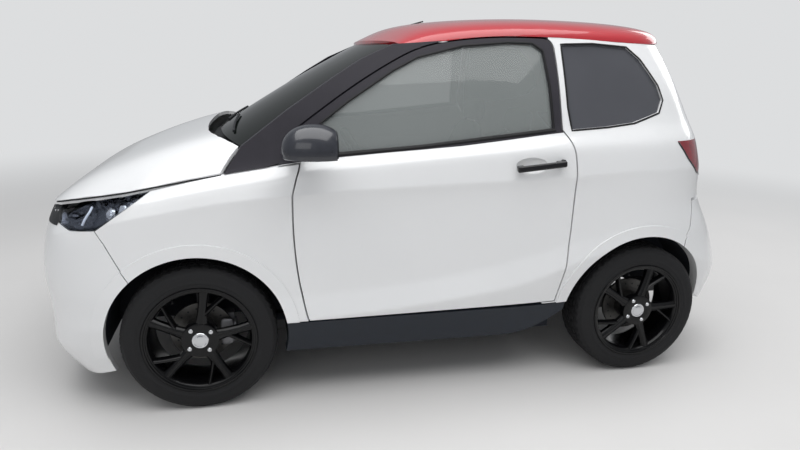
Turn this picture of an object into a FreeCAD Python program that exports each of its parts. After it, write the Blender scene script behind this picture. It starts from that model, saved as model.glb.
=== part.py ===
import FreeCAD, Part
import math
import os

V = FreeCAD.Vector
os.makedirs("parts", exist_ok=True)

# Driving dimensions in mm: x rearward, y to the car's right, z up
HALF_LENGTH = 1480.0
FRONT_AXLE = -880.0
REAR_AXLE = 920.0
HUB_Z = 281.0
NOSE_START = -700.0
TAIL_START = 620.0
NOSE_POWER = 3.2
NOSE_POWER_LOW = 4.6
TAIL_POWER = 4.4
GAP = 6.0
DOOR_WALL = 60.0
FRAME_WALL = 36.0
SKIN = 28.0
GLASS = 5.0
GLASS_IN = 9.0
SEAT = 0.3
SCRAP = 3000.0
ARCH_SHIFT = -6.0
LIP_PROUD = 6.5
LIP_WIDTH = 46.0
LIP_DEEP = 20.0
LIP_LOW = 215.0
SILL_TOP = 340.0
ROOF_END = 1072.0
ROOF_RIM = 44.0
ROOF_T = 24.0
LINER_OUT = 689.5
HINGE_X = -605.0
HINGE_Y = -700.0
SWING = 65.0
ARCH_FRONT = 326.0
ARCH_REAR = 337.0
LAMP_GAP = 1.5
TUCK = 3.0
RIM_Y = 640.0

# Heights of the side features: x, bottom, low, mid, waist, crease, shoulder, top
HEIGHTS = [
    (-1480, 115, 260, 400, 520, 610, 670, 705),
    (-1386, 115, 300, 430, 560, 665, 730, 765),
    (-1300, 130, 330, 450, 580, 700, 762, 790),
    (-1100, 190, 345, 450, 600, 745, 800, 828),
    (-880, 200, 345, 440, 620, 782, 843, 873),
    (-620, 200, 340, 435, 640, 815, 883, 916),
    (-480, 200, 345, 436, 650, 825, 903, 937),
    (-200, 200, 365, 457, 665, 841, 930, 965),
    (100, 200, 395, 488, 680, 852, 955, 990),
    (400, 200, 440, 552, 700, 863, 978, 1027),
    (560, 280, 515, 595, 720, 868, 985, 1045),
    (720, 400, 560, 640, 740, 880, 992, 1058),
    (920, 450, 590, 670, 770, 890, 1000, 1075),
    (1200, 330, 500, 630, 755, 890, 1005, 1085),
    (1480, 200, 390, 577, 753, 890, 1005, 1085),
]

# Half widths of the side features, same columns
WIDTHS = [
    (-1480, 690, 742, 744, 742, 735, 722, 690),
    (-1100, 700, 745, 744, 738, 738, 728, 682),
    (-880, 700, 748, 746, 738, 740, 728, 678),
    (-620, 700, 747, 736, 731, 743, 728, 680),
    (-480, 700, 747, 726, 729, 744, 728, 686),
    (100, 700, 747, 722, 728, 744, 731, 694),
    (560, 700, 748, 729, 730, 742, 730, 690),
    (920, 700, 748, 746, 738, 740, 727, 676),
    (1480, 690, 742, 742, 738, 736, 718, 664),
]

# Nose and tail at the centre line: z, x
NOSE = [(110, -1390), (150, -1440), (210, -1474), (300, -1464), (400, -1468), (480, -1480),
        (600, -1473), (705, -1455), (770, -1440), (850, -1400)]
TAIL = [(110, 1400), (200, 1430), (300, 1478), (390, 1480), (485, 1458), (577, 1420), (677, 1363),
        (753, 1312), (850, 1308), (900, 1302), (1000, 1274), (1075, 1250), (1130, 1226),
        (1250, 1170), (1370, 1102), (1400, 1086)]

# Roof rail: x, height, half width
RAIL = [(-900, 1325, 540), (-120, 1352, 553), (0, 1364, 558), (140, 1382, 562), (330, 1395, 564),
        (470, 1398, 564), (660, 1394, 562), (860, 1386, 556), (1080, 1384, 548), (1480, 1390, 540)]

# Roof centre line: x, height
ROOF = [(-186, 1370), (-145, 1391), (-98, 1416), (-46, 1437), (60, 1455), (146, 1465), (341, 1480),
        (592, 1488), (854, 1484), (1000, 1471), (1076, 1450)]

# Bonnet centre line: x, height
BONNET = [(-1455, 714), (-1376, 786), (-1284, 844), (-1220, 875), (-1100, 924), (-970, 971),
          (-830, 1013), (-700, 1034)]

# Left door outline on its skin, seen from the side: x, z
DOOR_FRONT = [(-481, 342), (-507, 457), (-526, 590), (-536, 728), (-528, 850), (-503, 932)]
DOOR_SAIL = [(-585, 921), (-578, 967), (-534, 1024), (-456, 1087), (-322, 1182), (-154, 1285),
             (-40, 1339), (100, 1370), (254, 1386), (440, 1389)]
DOOR_TOP = [(440, 1389), (476, 1377), (489, 1350)]
DOOR_BACK = [(489, 1350), (496, 1240), (500, 1134), (503, 1046)]
DOOR_REAR = [(503, 1046), (541, 985), (556, 900), (560, 750), (556, 580), (541, 460), (525, 350)]

# Window openings seen from the side: x, z
DOOR_GLASS = [(-425, 1066), (-322, 1143), (-153, 1253), (-57, 1303), (119, 1350), (300, 1368),
              (400, 1368), (440, 1342), (458, 1207), (466, 1054), (-60, 992), (-363, 966)]
QUARTER_GLASS = [(525, 1368), (535, 1134), (548, 1050), (700, 1062), (821, 1077), (945, 1116),
                 (972, 1165), (955, 1220), (880, 1320), (820, 1366), (660, 1374)]

# Tail lamp, headlamp and tailgate outlines: x, z then y, z
TAIL_LAMP = [(1020, 1005), (1087, 928), (1159, 868), (1240, 838), (1600, 838), (1600, 1005)]
HEADLAMP = [(-1345, 703), (-1300, 691), (-1209, 701), (-1004, 846), (-1150, 822), (-1300, 796), (-1345, 785)]
GATE = [(-548, 752), (-520, 1080), (-462, 1378), (462, 1378), (520, 1080), (548, 752)]
GATE_GLASS = [(-450, 1094), (-402, 1342), (402, 1342), (450, 1094)]
GRILLE = [(-380, 465), (-430, 632), (430, 632), (380, 465)]
INTAKE = [(-470, 190), (-430, 325), (430, 325), (470, 190)]


def smooth(rows, x, col=1):
    xs = [r[0] for r in rows]
    ys = [r[col] for r in rows]
    n = len(xs)
    if x <= xs[0]:
        return float(ys[0])
    if x >= xs[-1]:
        return float(ys[-1])
    i = max(k for k in range(n - 1) if xs[k] <= x)
    d = [(ys[k + 1] - ys[k]) / (xs[k + 1] - xs[k]) for k in range(n - 1)]

    def slope(k):
        if k == 0:
            return d[0]
        if k == n - 1:
            return d[-1]
        if d[k - 1] * d[k] <= 0:
            return 0.0
        return 2 * d[k - 1] * d[k] / (d[k - 1] + d[k])

    h = xs[i + 1] - xs[i]
    t = (x - xs[i]) / h
    a = ys[i] * (1 + 2 * t) * (1 - t) ** 2 + ys[i + 1] * t * t * (3 - 2 * t)
    return a + h * (slope(i) * t * (1 - t) ** 2 - slope(i + 1) * t * t * (1 - t))


def corner(angle, power):
    """Point of a unit rounded corner at a polar angle, 90 at the side and 0 at the end."""
    c = math.cos(math.radians(angle))
    n = math.sin(math.radians(angle))
    d = (abs(c) ** power + abs(n) ** power) ** (1 / power)
    return c / d, n / d


def plan(u, z_of, w_of, inset, power=NOSE_POWER):
    """Point of a half outline: u below 0 is the nose corner, above 1 the tail corner."""
    if u < 0:
        c, n = corner(90 * (1 + u), power)
        x0 = NOSE_START - (HALF_LENGTH + NOSE_START) * c
        z = z_of(x0)
        nose = smooth(NOSE, z) + inset
        return V(NOSE_START + (nose - NOSE_START) * c, -(w_of(x0) - inset) * n, z)
    if u > 1:
        c, n = corner(90 * (2 - u), TAIL_POWER)
        x0 = TAIL_START + (HALF_LENGTH - TAIL_START) * c
        z = z_of(x0)
        tail = smooth(TAIL, z) - inset
        return V(TAIL_START + (tail - TAIL_START) * c, -(w_of(x0) - inset) * n, z)
    x = NOSE_START + (TAIL_START - NOSE_START) * u
    return V(x, -(w_of(x) - inset), z_of(x))


def feature(rows, x, k, power=1.0):
    """Value at x of column k, which may lie between two columns."""
    low = min(int(k), 6)
    a = smooth(rows, x, low)
    return a + (smooth(rows, x, low + 1) - a) * (k - low) ** power


def nose_power(k):
    """The bumper's corners are squarer than the bonnet's."""
    return NOSE_POWER_LOW + (NOSE_POWER - NOSE_POWER_LOW) * max(0.0, (k - 4) / 3)


def body_point(u, k, inset):
    """The skin tucks in sharply just below the crease, level 5."""
    tuck = TUCK if 4 < k < 5 else 1.0
    return plan(u, lambda x: feature(HEIGHTS, x, k), lambda x: feature(WIDTHS, x, k, tuck), inset, nose_power(k))


def glass_z(x, s):
    a = smooth(HEIGHTS, x, 7)
    return a + (smooth(RAIL, x, 1) - a) * s


def glass_w(x, s):
    a = smooth(WIDTHS, x, 7)
    return a + (smooth(RAIL, x, 2) - a) * s + 10 * math.sin(math.pi * s)


def cabin_point(u, s, inset):
    return plan(u, lambda x: glass_z(x, s), lambda x: glass_w(x, s), inset)


def shell_point(u, k, inset):
    """Levels 1 to 7 are the body side, 8 to 11 the cabin side up to the roof rail."""
    return body_point(u, k, inset) if k <= 7 else cabin_point(u, (k - 7) / 4, inset)


def skin_y(x, z):
    top = smooth(HEIGHTS, x, 7)
    if z > top:
        s = min(1.0, (z - top) / (smooth(RAIL, x, 1) - top))
        return -glass_w(x, s)
    for k in range(1, 7):
        a = smooth(HEIGHTS, x, k)
        b = smooth(HEIGHTS, x, k + 1)
        if a <= z <= b:
            t = (z - a) / (b - a)
            return -(smooth(WIDTHS, x, k) * (1 - t) + smooth(WIDTHS, x, k + 1) * t)
    return -smooth(WIDTHS, x, 1)


def knots(n):
    """Degree, knots and their counts of a clamped spline with n poles."""
    deg = min(3, n - 1)
    ends = n - deg
    return deg, list(range(ends + 1)), [deg + 1] + [1] * (ends - 1) + [deg + 1]


def face_through(grid):
    """Smooth face led by a grid of points; it never leaves their hull."""
    du, ku, mu = knots(len(grid))
    dv, kv, mv = knots(len(grid[0]))
    s = Part.BSplineSurface()
    s.buildFromPolesMultsKnots(grid, mu, mv, ku, kv, False, False, du, dv)
    return s.toShape()


def slab(outer, inner):
    """Solid between two grids of points with the same rows and columns."""
    a = face_through(outer)
    b = face_through(inner)
    sides = [(outer[0], inner[0]), (outer[-1], inner[-1])]
    sides.append(([r[0] for r in outer], [r[0] for r in inner]))
    sides.append(([r[-1] for r in outer], [r[-1] for r in inner]))
    faces = [a, b]
    for p, q in sides:
        ea = nearest_edge(a, p)
        eb = nearest_edge(b, q)
        faces.append(Part.makeRuledSurface(ea, eb))
    shell = Part.Shell(faces)
    shell.sewShape()
    solid = Part.Solid(shell)
    if solid.Volume < 0:
        solid.reverse()
    return solid


def nearest_edge(face, points):
    mid = points[len(points) // 2]
    ends = [points[0], points[-1]]

    def miss(e):
        v = Part.Vertex(mid)
        d = e.distToShape(v)[0]
        return d + sum(e.distToShape(Part.Vertex(p))[0] for p in ends)

    return min(face.Edges, key=miss)


def curve(points):
    if len(points) == 2:
        return Part.makeLine(points[0], points[1])
    c = Part.BSplineCurve()
    c.interpolate(points)
    return c.toShape()


def prism(segments, start, move):
    """Solid from outline segments of (a, b) pairs; start maps a pair to a point."""
    wire = Part.Wire([curve([start(p) for p in s]) for s in segments])
    return Part.Face(wire).extrude(move)


def straight(points):
    return [[points[i], points[(i + 1) % len(points)]] for i in range(len(points))]


def side_prism(points, y0=-900.0, y1=-300.0):
    return prism(straight(points), lambda p: V(p[0], y0, p[1]), V(0, y1 - y0, 0))


def plan_prism(points, z0, z1):
    return prism(straight(points), lambda p: V(p[0], p[1], z0), V(0, 0, z1 - z0))


def front_prism(points, x0, x1):
    return prism(straight(points), lambda p: V(x0, p[0], p[1]), V(x1 - x0, 0, 0))


def box(x0, x1, y0, y1, z0, z1):
    return Part.makeBox(x1 - x0, y1 - y0, z1 - z0, V(x0, y0, z0))


def rod(p, q, r):
    d = V(*q) - V(*p)
    return Part.makeCylinder(r, d.Length, V(*p), d)


def flip(p):
    return V(p.x, -p.y, p.z)


def mirrored(s):
    return s.mirror(V(0, 0, 0), V(0, 1, 0))


def half_slab(point, us, levels, outer, inner):
    """Left half wall between two insets; an inset is a number or a function of the level."""
    def grid(inset):
        f = inset if callable(inset) else (lambda k: inset)
        return [[point(u, k, f(k)) for k in levels] for u in us]
    return slab(grid(outer), grid(inner))


def full_slab(point, us, levels, outer, inner):
    """Wall across both sides; us run from the left side to the centre line."""
    def grid(inset):
        f = inset if callable(inset) else (lambda k: inset)
        left = [[point(u, k, f(k)) for k in levels] for u in us]
        return left + [[flip(p) for p in row] for row in reversed(left[:-1])]
    return slab(grid(outer), grid(inner))


def both(s):
    return Part.makeCompound([s, mirrored(s)])


def clean(s):
    parts = [p for p in s.Solids if p.Volume > SCRAP]
    return parts[0] if len(parts) == 1 else Part.makeCompound(parts)


def offset(points, d):
    """Move each point of a closed clockwise or anticlockwise outline outward by d."""
    n = len(points)
    area = sum(points[i][0] * points[(i + 1) % n][1] - points[(i + 1) % n][0] * points[i][1] for i in range(n))
    sign = 1.0 if area > 0 else -1.0
    out = []
    for i in range(n):
        a, b, c = points[i - 1], points[i], points[(i + 1) % n]
        n1 = (b[1] - a[1], a[0] - b[0])
        n2 = (c[1] - b[1], b[0] - c[0])
        l1 = math.hypot(*n1)
        l2 = math.hypot(*n2)
        n1 = (n1[0] / l1, n1[1] / l1)
        n2 = (n2[0] / l2, n2[1] / l2)
        m = 1 + n1[0] * n2[0] + n1[1] * n2[1]
        k = sign * d / m
        out.append((b[0] + k * (n1[0] + n2[0]), b[1] + k * (n1[1] + n2[1])))
    return out


# Door tool: the door outline turned about the hinge line
door_curves = [DOOR_FRONT, DOOR_SAIL, DOOR_TOP, DOOR_BACK, DOOR_REAR]


def radial(p):
    return (math.hypot(p[0] - HINGE_X, skin_y(p[0], p[1]) - HINGE_Y), p[1])


def door_tool(grow, a0, a1):
    flat = []
    marks = []
    for c in door_curves:
        pts = [radial(p) for p in c]
        if flat and math.hypot(flat[-1][0] - pts[0][0], flat[-1][1] - pts[0][1]) < 0.01:
            pts = pts[1:]
            marks.append((len(flat) - 1, len(flat) + len(pts)))
        else:
            marks.append((len(flat), len(flat) + len(pts)))
        flat += pts
    grown = offset(flat, grow) if grow else flat
    edges = []
    for a, b in marks:
        edges.append(curve([V(HINGE_X + r, HINGE_Y, z) for r, z in grown[a:b]]))
    for i, (a, b) in enumerate(marks):
        nxt = marks[(i + 1) % len(marks)][0]
        p, q = grown[b - 1], grown[nxt]
        if math.hypot(p[0] - q[0], p[1] - q[1]) > 0.01:
            edges.append(Part.makeLine(V(HINGE_X + p[0], HINGE_Y, p[1]), V(HINGE_X + q[0], HINGE_Y, q[1])))
    wire = Part.Wire(Part.__sortEdges__(edges))
    face = Part.Face(wire)
    face.rotate(V(HINGE_X, HINGE_Y, 0), V(0, 0, 1), a0)
    return face.revolve(V(HINGE_X, HINGE_Y, 0), V(0, 0, 1), a1 - a0)


parts = {}

# Rows round the body: nose corner, side and tail corner
NOSE_U = [-i / 9 for i in range(1, 10)]
SIDE_U = [i / 7 for i in range(8)]
TAIL_U = [1 + i / 9 for i in range(1, 10)]
BODY = [1, 1.5, 1.85, 2, 2.15, 2.5, 2.85, 3, 3.15, 3.5, 4, 4.5, 4.8, 4.93, 5, 5.1, 5.5, 6, 6.5, 7]
CABIN = [7, 8, 9, 10, 11]
SHELL = BODY + CABIN[1:]
ACROSS = 900.0


def wall(k):
    return DOOR_WALL if k <= 6 else FRAME_WALL


nose_rows = [SIDE_U[2], SIDE_U[1], SIDE_U[0]] + NOSE_U
tail_rows = SIDE_U[5:] + TAIL_U
nose_slab = full_slab(body_point, nose_rows, BODY, 0, SKIN)
tail_slab = full_slab(shell_point, tail_rows, SHELL, 0, FRAME_WALL)
side_slab = half_slab(shell_point, [-0.33, -0.16] + SIDE_U + TAIL_U[:2], SHELL, 0, wall)
cabin_glass = full_slab(shell_point, [-0.1] + SIDE_U + TAIL_U, CABIN, GLASS_IN, GLASS_IN + GLASS)

door_in = door_tool(0, -60, 30)
door_out = door_tool(GAP, -SWING - 50, 30)
doors_out = [door_out, mirrored(door_out)]

# Wheel arches through both sides
arch_front = Part.makeCylinder(ARCH_FRONT, 2 * ACROSS, V(FRONT_AXLE + ARCH_SHIFT, -ACROSS, HUB_Z), V(0, 1, 0))
arch_rear = Part.makeCylinder(ARCH_REAR, 2 * ACROSS, V(REAR_AXLE + ARCH_SHIFT, -ACROSS, HUB_Z), V(0, 1, 0))


def arch_lip(skin, x, r):
    """Raised band round both wheel arches of an axle that follows the skin."""
    band = Part.makeCylinder(r + LIP_WIDTH, 2 * ACROSS, V(x, -ACROSS, HUB_Z), V(0, 1, 0))
    band = band.cut(Part.makeCylinder(r, 2 * ACROSS, V(x, -ACROSS, HUB_Z), V(0, 1, 0)))
    return skin.common(band).cut(box(-2000, 2000, -ACROSS, ACROSS, -400, LIP_LOW))


lip_nose = full_slab(body_point, nose_rows, BODY, -LIP_PROUD, LIP_DEEP)
lip_tail = full_slab(body_point, tail_rows, BODY, -LIP_PROUD, LIP_DEEP)
lip_front = arch_lip(lip_nose, FRONT_AXLE + ARCH_SHIFT, ARCH_FRONT)
lip_rear = arch_lip(lip_tail, REAR_AXLE + ARCH_SHIFT, ARCH_REAR)
sill_cut = side_prism([(-700, -200), (800, -200), (800, SILL_TOP), (-700, SILL_TOP)], -ACROSS, ACROSS)

# Front wings, with room for the lamps
lamp_hole = side_prism(offset(HEADLAMP, LAMP_GAP), -ACROSS, ACROSS)
ahead = side_prism([(-1600, 60), (-1060, 60), (-1060, 300), (-1095, 505), (-1129, 564), (-1177, 658), (-1205, 700),
                    (-1010, 844), (-1000, 880), (-1000, 1000), (-1600, 1000)], -ACROSS, ACROSS)
wings = nose_slab.cut(arch_front).fuse(lip_front).cut(ahead).cut(lamp_hole)
parts["front_wings"] = clean(wings.cut(door_out).cut(doors_out[1]).cut(sill_cut))

# Doors: skin and lining below the belt, frame round the glass above it
belt = [(x, smooth(HEIGHTS, x, 7)) for x in (-880, -790, -700, -620, -560, -480, -340, -200, -50, 100, 250, 400, 480, 560)]
above = side_prism(belt + [(700, 1060), (700, 1500), (-880, 1500)])
below = side_prism([(x, z - SEAT) for x, z in belt] + [(700, 1059), (700, 0), (-880, 0)])
hole = side_prism(DOOR_GLASS)
leaf = side_slab.common(door_in)
parts["door_left"] = clean(leaf.common(below))
parts["door_left_frame"] = clean(leaf.common(above).cut(hole))
parts["door_left_window"] = clean(cabin_glass.common(hole))

# Pillars and rails round the doors
pillar_area = side_prism([(-790, 866), (-776, 884), (-711, 984), (-544, 1112), (-379, 1225), (-268, 1295),
                          (-144, 1352), (-100, 1420), (470, 1420), (470, 1050), (-560, 935)])
pillar = side_slab.common(pillar_area).common(above).cut(door_out)
parts["pillar_frame"] = clean(Part.makeCompound([pillar, mirrored(pillar)]))

# Side panels behind the doors, open for the tailgate, lamps and quarter windows
gate_opening = front_prism(offset(GATE, GAP), 1000, 1600)
panel_area = side_prism([(470.3, -100), (470.3, 1460), (1600, 1460), (1600, 760), (1140, 760), (1142, 716),
                         (1128, 640), (1100, 590), (1060, 300), (1060, -100)], -ACROSS, ACROSS)
lamp_area = side_prism(TAIL_LAMP, -ACROSS, ACROSS)
quarter_hole = side_prism(QUARTER_GLASS, -ACROSS, ACROSS)
panels = tail_slab.cut(arch_rear).fuse(lip_rear).common(panel_area)
panels = panels.cut(doors_out[0]).cut(doors_out[1]).cut(sill_cut)
parts["side_panels"] = clean(panels.cut(gate_opening).cut(lamp_area).cut(quarter_hole))
parts["quarter_windows"] = clean(cabin_glass.common(quarter_hole))
parts["tail_lamps"] = clean(tail_slab.common(lamp_area).cut(gate_opening))

# Tailgate with its window
gate = tail_slab.common(front_prism(GATE, 1000, 1600))
window = front_prism(GATE_GLASS, 1000, 1600)
parts["tailgate"] = clean(gate.cut(window))
parts["tailgate_window"] = clean(cabin_glass.common(window))

# Front bumper with its two openings, grille with slats
front_area = side_prism([(-1600, 60), (-1060, 60), (-1060, 300), (-1099, 505), (-1133, 564), (-1181, 658),
                         (-1209, 700), (-1300, 690), (-1350, 702), (-1366, 800), (-1600, 800)], -ACROSS, ACROSS)
openings = front_prism(GRILLE, -1700, -1250).fuse(front_prism(INTAKE, -1700, -1250))
bumper = nose_slab.cut(arch_front).fuse(lip_front).common(front_area).cut(lamp_hole)
parts["front_bumper"] = clean(bumper.cut(openings))
grille = full_slab(body_point, NOSE_U, BODY, 18, SKIN).common(openings)
slats = full_slab(body_point, NOSE_U, BODY, 6, 18.5).common(openings)
bands = [box(-1700, -1200, -600, 600, z, z + 9) for z in (205, 235, 265, 295, 490, 520, 550, 580, 610)]
parts["grille"] = clean(grille.fuse(slats.common(bands[0].fuse(bands[1:]))))

# Headlamp housings and lenses
LENS_T = 4.0
LAMP_DEEP = 52.0
housing_area = side_prism(offset(HEADLAMP, LAMP_GAP - SEAT), -ACROSS, ACROSS)
lens_area = side_prism(offset(HEADLAMP, -1.0), -ACROSS, ACROSS)
housings = full_slab(body_point, nose_rows[1:], BODY, LENS_T + SEAT, LAMP_DEEP)
parts["headlamps"] = clean(housings.common(housing_area))
parts["headlamp_lenses"] = clean(full_slab(body_point, nose_rows[1:], BODY, 0, LENS_T).common(lens_area))

# Rear bumper
rear_area = side_prism([(1600, 60), (1055, 60), (1066, 300), (1106, 590), (1134, 640), (1148, 716),
                        (1146, 745), (1600, 745)], -ACROSS, ACROSS)
parts["rear_bumper"] = clean(tail_slab.cut(arch_rear).fuse(lip_rear).common(rear_area))

# Sills between the arches
sill = side_slab.common(side_prism([(-620, 204), (680, 204), (680, SILL_TOP - 5), (-620, SILL_TOP - 5)]))
parts["sills"] = both(clean(sill.cut(arch_front).cut(arch_rear)))


# Roof: rows along the car, angles from edge to edge
ROOF_X = [-186, -145, -98, -20, 120, 300, 490, 700, 860, 960, 1020, 1052, ROOF_END]
ROOF_A = [-90, -78, -64, -48, -24, 0, 24, 48, 64, 78, 90]
ROOF_POWER = 2.7
ROOF_TAIL = smooth(TAIL, 1388)


def roof_point(x, a, t_side, t_top):
    h, f = corner(abs(a), ROOF_POWER)
    c = max(0.0, (x - TAIL_START) / (ROOF_TAIL - TAIL_START))
    x0 = max(x, TAIL_START + (HALF_LENGTH - TAIL_START) * c) if c else x
    w = (smooth(RAIL, x0, 2) + 2 - t_side) * (1 - c ** TAIL_POWER) ** (1 / TAIL_POWER)
    y = math.copysign(w * f, a)
    low = smooth(RAIL, x0, 1) + SEAT
    front = max(0.0, min(1.0, (200 - x) / 386))
    return V(x + 62 * front * f * f, y, low + (smooth(ROOF, x) - t_top - low) * h)


roof = slab([[roof_point(x, a, 0, 0) for a in ROOF_A] for x in ROOF_X],
            [[roof_point(x, a, ROOF_RIM, ROOF_T) for a in ROOF_A] for x in ROOF_X])
parts["roof"] = clean(roof.cut(doors_out[0]).cut(doors_out[1]))

# Room for the roof, and for the tailgate's top edge, which swings up just behind it
HEADER_BACK = 1084.0
header_end = box(HEADER_BACK, HEADER_BACK + 60, GATE[2][0] - GAP, -GATE[2][0] + GAP, GATE[2][1], GATE[2][1] + 30)
parts["side_panels"] = clean(parts["side_panels"].cut(header_end).cut(parts["roof"]))

# Windscreen: foot and head each have x, z, half width, forward bow and crown
SCREEN_FOOT = (-713, 984, 622, 100, 4)
SCREEN_HEAD = (-147, 1351, 540, 30, 14)
SCREEN_BOW = 24.0
SCREEN_F = [-1, -0.7, -0.35, 0, 0.35, 0.7, 1]


def screen_point(s, f, t):
    x, z, w, bow, crown = [a + (b - a) * s for a, b in zip(SCREEN_FOOT, SCREEN_HEAD)]
    z += SCREEN_BOW * 4 * s * (1 - s)
    return V(x - bow * (1 - f * f) + 0.55 * t, w * f, z + crown * (1 - f * f) - 0.83 * t)


screen = slab([[screen_point(s, f, 4) for f in SCREEN_F] for s in (0, 0.5, 1)],
              [[screen_point(s, f, 9) for f in SCREEN_F] for s in (0, 0.5, 1)])
parts["windscreen"] = max(screen.cut(parts["roof"]).Solids, key=lambda p: p.Volume)

# Bonnet: rows along the car, fractions of the half width, rear edge as x, y of its left half
BONNET_X = [-1455, -1376, -1284, -1220, -1100, -970, -830, -760, -700]
BONNET_F = [-1, -0.95, -0.9, -0.82, -0.72, -0.5, -0.25, 0, 0.25, 0.5, 0.72, 0.82, 0.9, 0.95, 1]
BONNET_REAR = [(-856, 0), (-850, 200), (-838, 360), (-822, 450), (-794, 530), (-755, 582), (-720, 614)]
BONNET_T = 16.0
BONNET_IN = 3.0
BONNET_HINGE = (-660.0, 0.0, 968.0)
HINGE_AT = 600.0
STRAP_T = 14.0
PIN = 5.0


def bonnet_edge(x):
    t = max(0.0, (NOSE_START - x) / (HALF_LENGTH + NOSE_START))
    return smooth(WIDTHS, x, 7) * (1 - t ** NOSE_POWER) ** (1 / NOSE_POWER)


def bonnet_point(x, f, drop, wide):
    """The flanks stand steeper towards the windscreen."""
    power = 5.0 + 5.0 * max(0.0, min(1.0, (x + 1350) / 300))
    low = smooth(HEIGHTS, x, 7)
    return V(x, (bonnet_edge(x) + wide) * f, low + (smooth(BONNET, x) - low) * (1 - abs(f) ** power) - drop)


def bonnet_sheet(top, bottom, grow):
    """Bonnet wall between two depths, cut to its outline grown by some mm."""
    edge = [(x, bonnet_edge(x) - BONNET_IN) for x in (-784, -860, -1000, -1100, -1200, -1290, -1340)]
    half = BONNET_REAR + edge + [(-1392, 440), (-1422, 280), (-1434, 0)]
    outline = half + [(x, -y) for x, y in reversed(half[1:-1])]
    grid_top = [[bonnet_point(x, f, top, grow) for f in BONNET_F] for x in BONNET_X]
    grid_low = [[bonnet_point(x, f, bottom, grow) for f in BONNET_F] for x in BONNET_X]
    return slab(grid_top, grid_low).common(plan_prism(offset(outline, grow), 500, 1200))


def hinge_rod(y0, y1, r):
    return rod((BONNET_HINGE[0], y0, BONNET_HINGE[2]), (BONNET_HINGE[0], y1, BONNET_HINGE[2]), r)


# Hooked straps that reach under the windscreen's foot: x, z
STRAP = [(-651, 968), (-651, 903), (-738, 903), (-768, 935), (-768, 1010), (-752, 1010), (-752, 943),
         (-731, 917), (-669, 917), (-669, 968)]
bonnet = bonnet_sheet(0, BONNET_T, 0)
above_bonnet = bonnet_sheet(-150, BONNET_T / 2, 0)
for y in (-HINGE_AT, HINGE_AT):
    strap = side_prism(STRAP, y - STRAP_T / 2, y + STRAP_T / 2).cut(above_bonnet)
    strap = strap.fuse(hinge_rod(y - STRAP_T / 2, y + STRAP_T / 2, 2 * PIN))
    bonnet = bonnet.fuse(strap.cut(hinge_rod(y - STRAP_T, y + STRAP_T, PIN + SEAT)))
parts["bonnet"] = clean(bonnet)

# Room for the bonnet in the pieces round it, at rest and while it starts to open
ROOM_OVER = 8.0
ROOM_UNDER = 20.0
room = bonnet_sheet(-ROOM_OVER, BONNET_T + ROOM_UNDER, GAP)
parts["pillar_frame"] = parts["pillar_frame"].cut(parts["windscreen"]).cut(parts["roof"])
for name in ("front_wings", "headlamps", "headlamp_lenses", "front_bumper", "grille", "pillar_frame"):
    for angle in (0, 2, 5):
        moved = room.copy()
        moved.rotate(V(*BONNET_HINGE), V(0, 1, 0), angle)
        parts[name] = parts[name].cut(moved)
    parts[name] = clean(parts[name])

# Cowl panel under the windscreen foot, resting on the bulkhead, with the pins of the bonnet
COWL_TOP = 950.0
COWL_SIDE = HINGE_AT - STRAP_T / 2 - GAP
COWL = [(-842, 0), (-838, 200), (-826, 360), (-800, 470), (-755, COWL_SIDE), (-612, COWL_SIDE)]
cowl = COWL + [(x, -y) for x, y in reversed(COWL[1:])]
cowl = plan_prism(cowl, 920 + SEAT, COWL_TOP)
for sy in (-1, 1):
    lug = box(BONNET_HINGE[0] - 8, BONNET_HINGE[0] + 8, sy * (COWL_SIDE - 4) - 4, sy * (COWL_SIDE - 4) + 4,
              COWL_TOP - 10, BONNET_HINGE[2] + 8)
    cowl = cowl.fuse([lug, hinge_rod(sy * (COWL_SIDE - 4), sy * (HINGE_AT + STRAP_T / 2 + 1), PIN)])
parts["cowl"] = clean(cowl)

# Floor pan with bulkhead and boot step
FLOOR_Z = 200.0
FLOOR_T = 30.0
BOOT_Z = 400.0
BOOT_W = 470.0
WELLS = [(FRONT_AXLE + ARCH_SHIFT, ARCH_FRONT, 395.0, 250.0), (REAR_AXLE + ARCH_SHIFT, ARCH_REAR, BOOT_W, SILL_TOP)]
floor_w = WIDTHS[0][1] + 10 - DOOR_WALL - SEAT
floor = box(-560, 545, -floor_w, floor_w, FLOOR_Z, FLOOR_Z + FLOOR_T)
riser = box(545, 575, -BOOT_W, BOOT_W, FLOOR_Z, BOOT_Z + FLOOR_T)
boot = box(575, 1250, -BOOT_W, BOOT_W, BOOT_Z, BOOT_Z + FLOOR_T)
foot = box(-640, -560, -BOOT_W, BOOT_W, FLOOR_Z, FLOOR_Z + FLOOR_T)
floor = floor.fuse([riser, boot, foot])
bulk = box(-640, -612, -BOOT_W, BOOT_W, FLOOR_Z + FLOOR_T + SEAT, 920)

# Arch liners: part tubs closed on the inner side
liners = []
for x, r, inner, low in WELLS:
    skin = nose_slab if x < 0 else tail_slab
    for sy, door in ((-1, door_out), (1, doors_out[1])):
        room = Part.makeCylinder(r + 8, 800, V(x, sy * (inner - SEAT), HUB_Z), V(0, sy, 0))
        floor = floor.cut(room)
        bulk = bulk.cut(room)
        tub = Part.makeCylinder(r + 6, LINER_OUT - inner, V(x, sy * inner, HUB_Z), V(0, sy, 0))
        tub = tub.cut(Part.makeCylinder(r + 1, 400, V(x, sy * (inner + 5), HUB_Z), V(0, sy, 0)))
        tub = tub.cut(box(x - 500, x + 500, -800, 800, -200, low)).cut(skin).cut(door).cut(parts["sills"])
        liners.append(max(tub.Solids, key=lambda p: p.Volume))
parts["arch_liners"] = Part.makeCompound(liners)
parts["floor_pan"] = clean(floor)
parts["bulkhead"] = clean(bulk)

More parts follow.
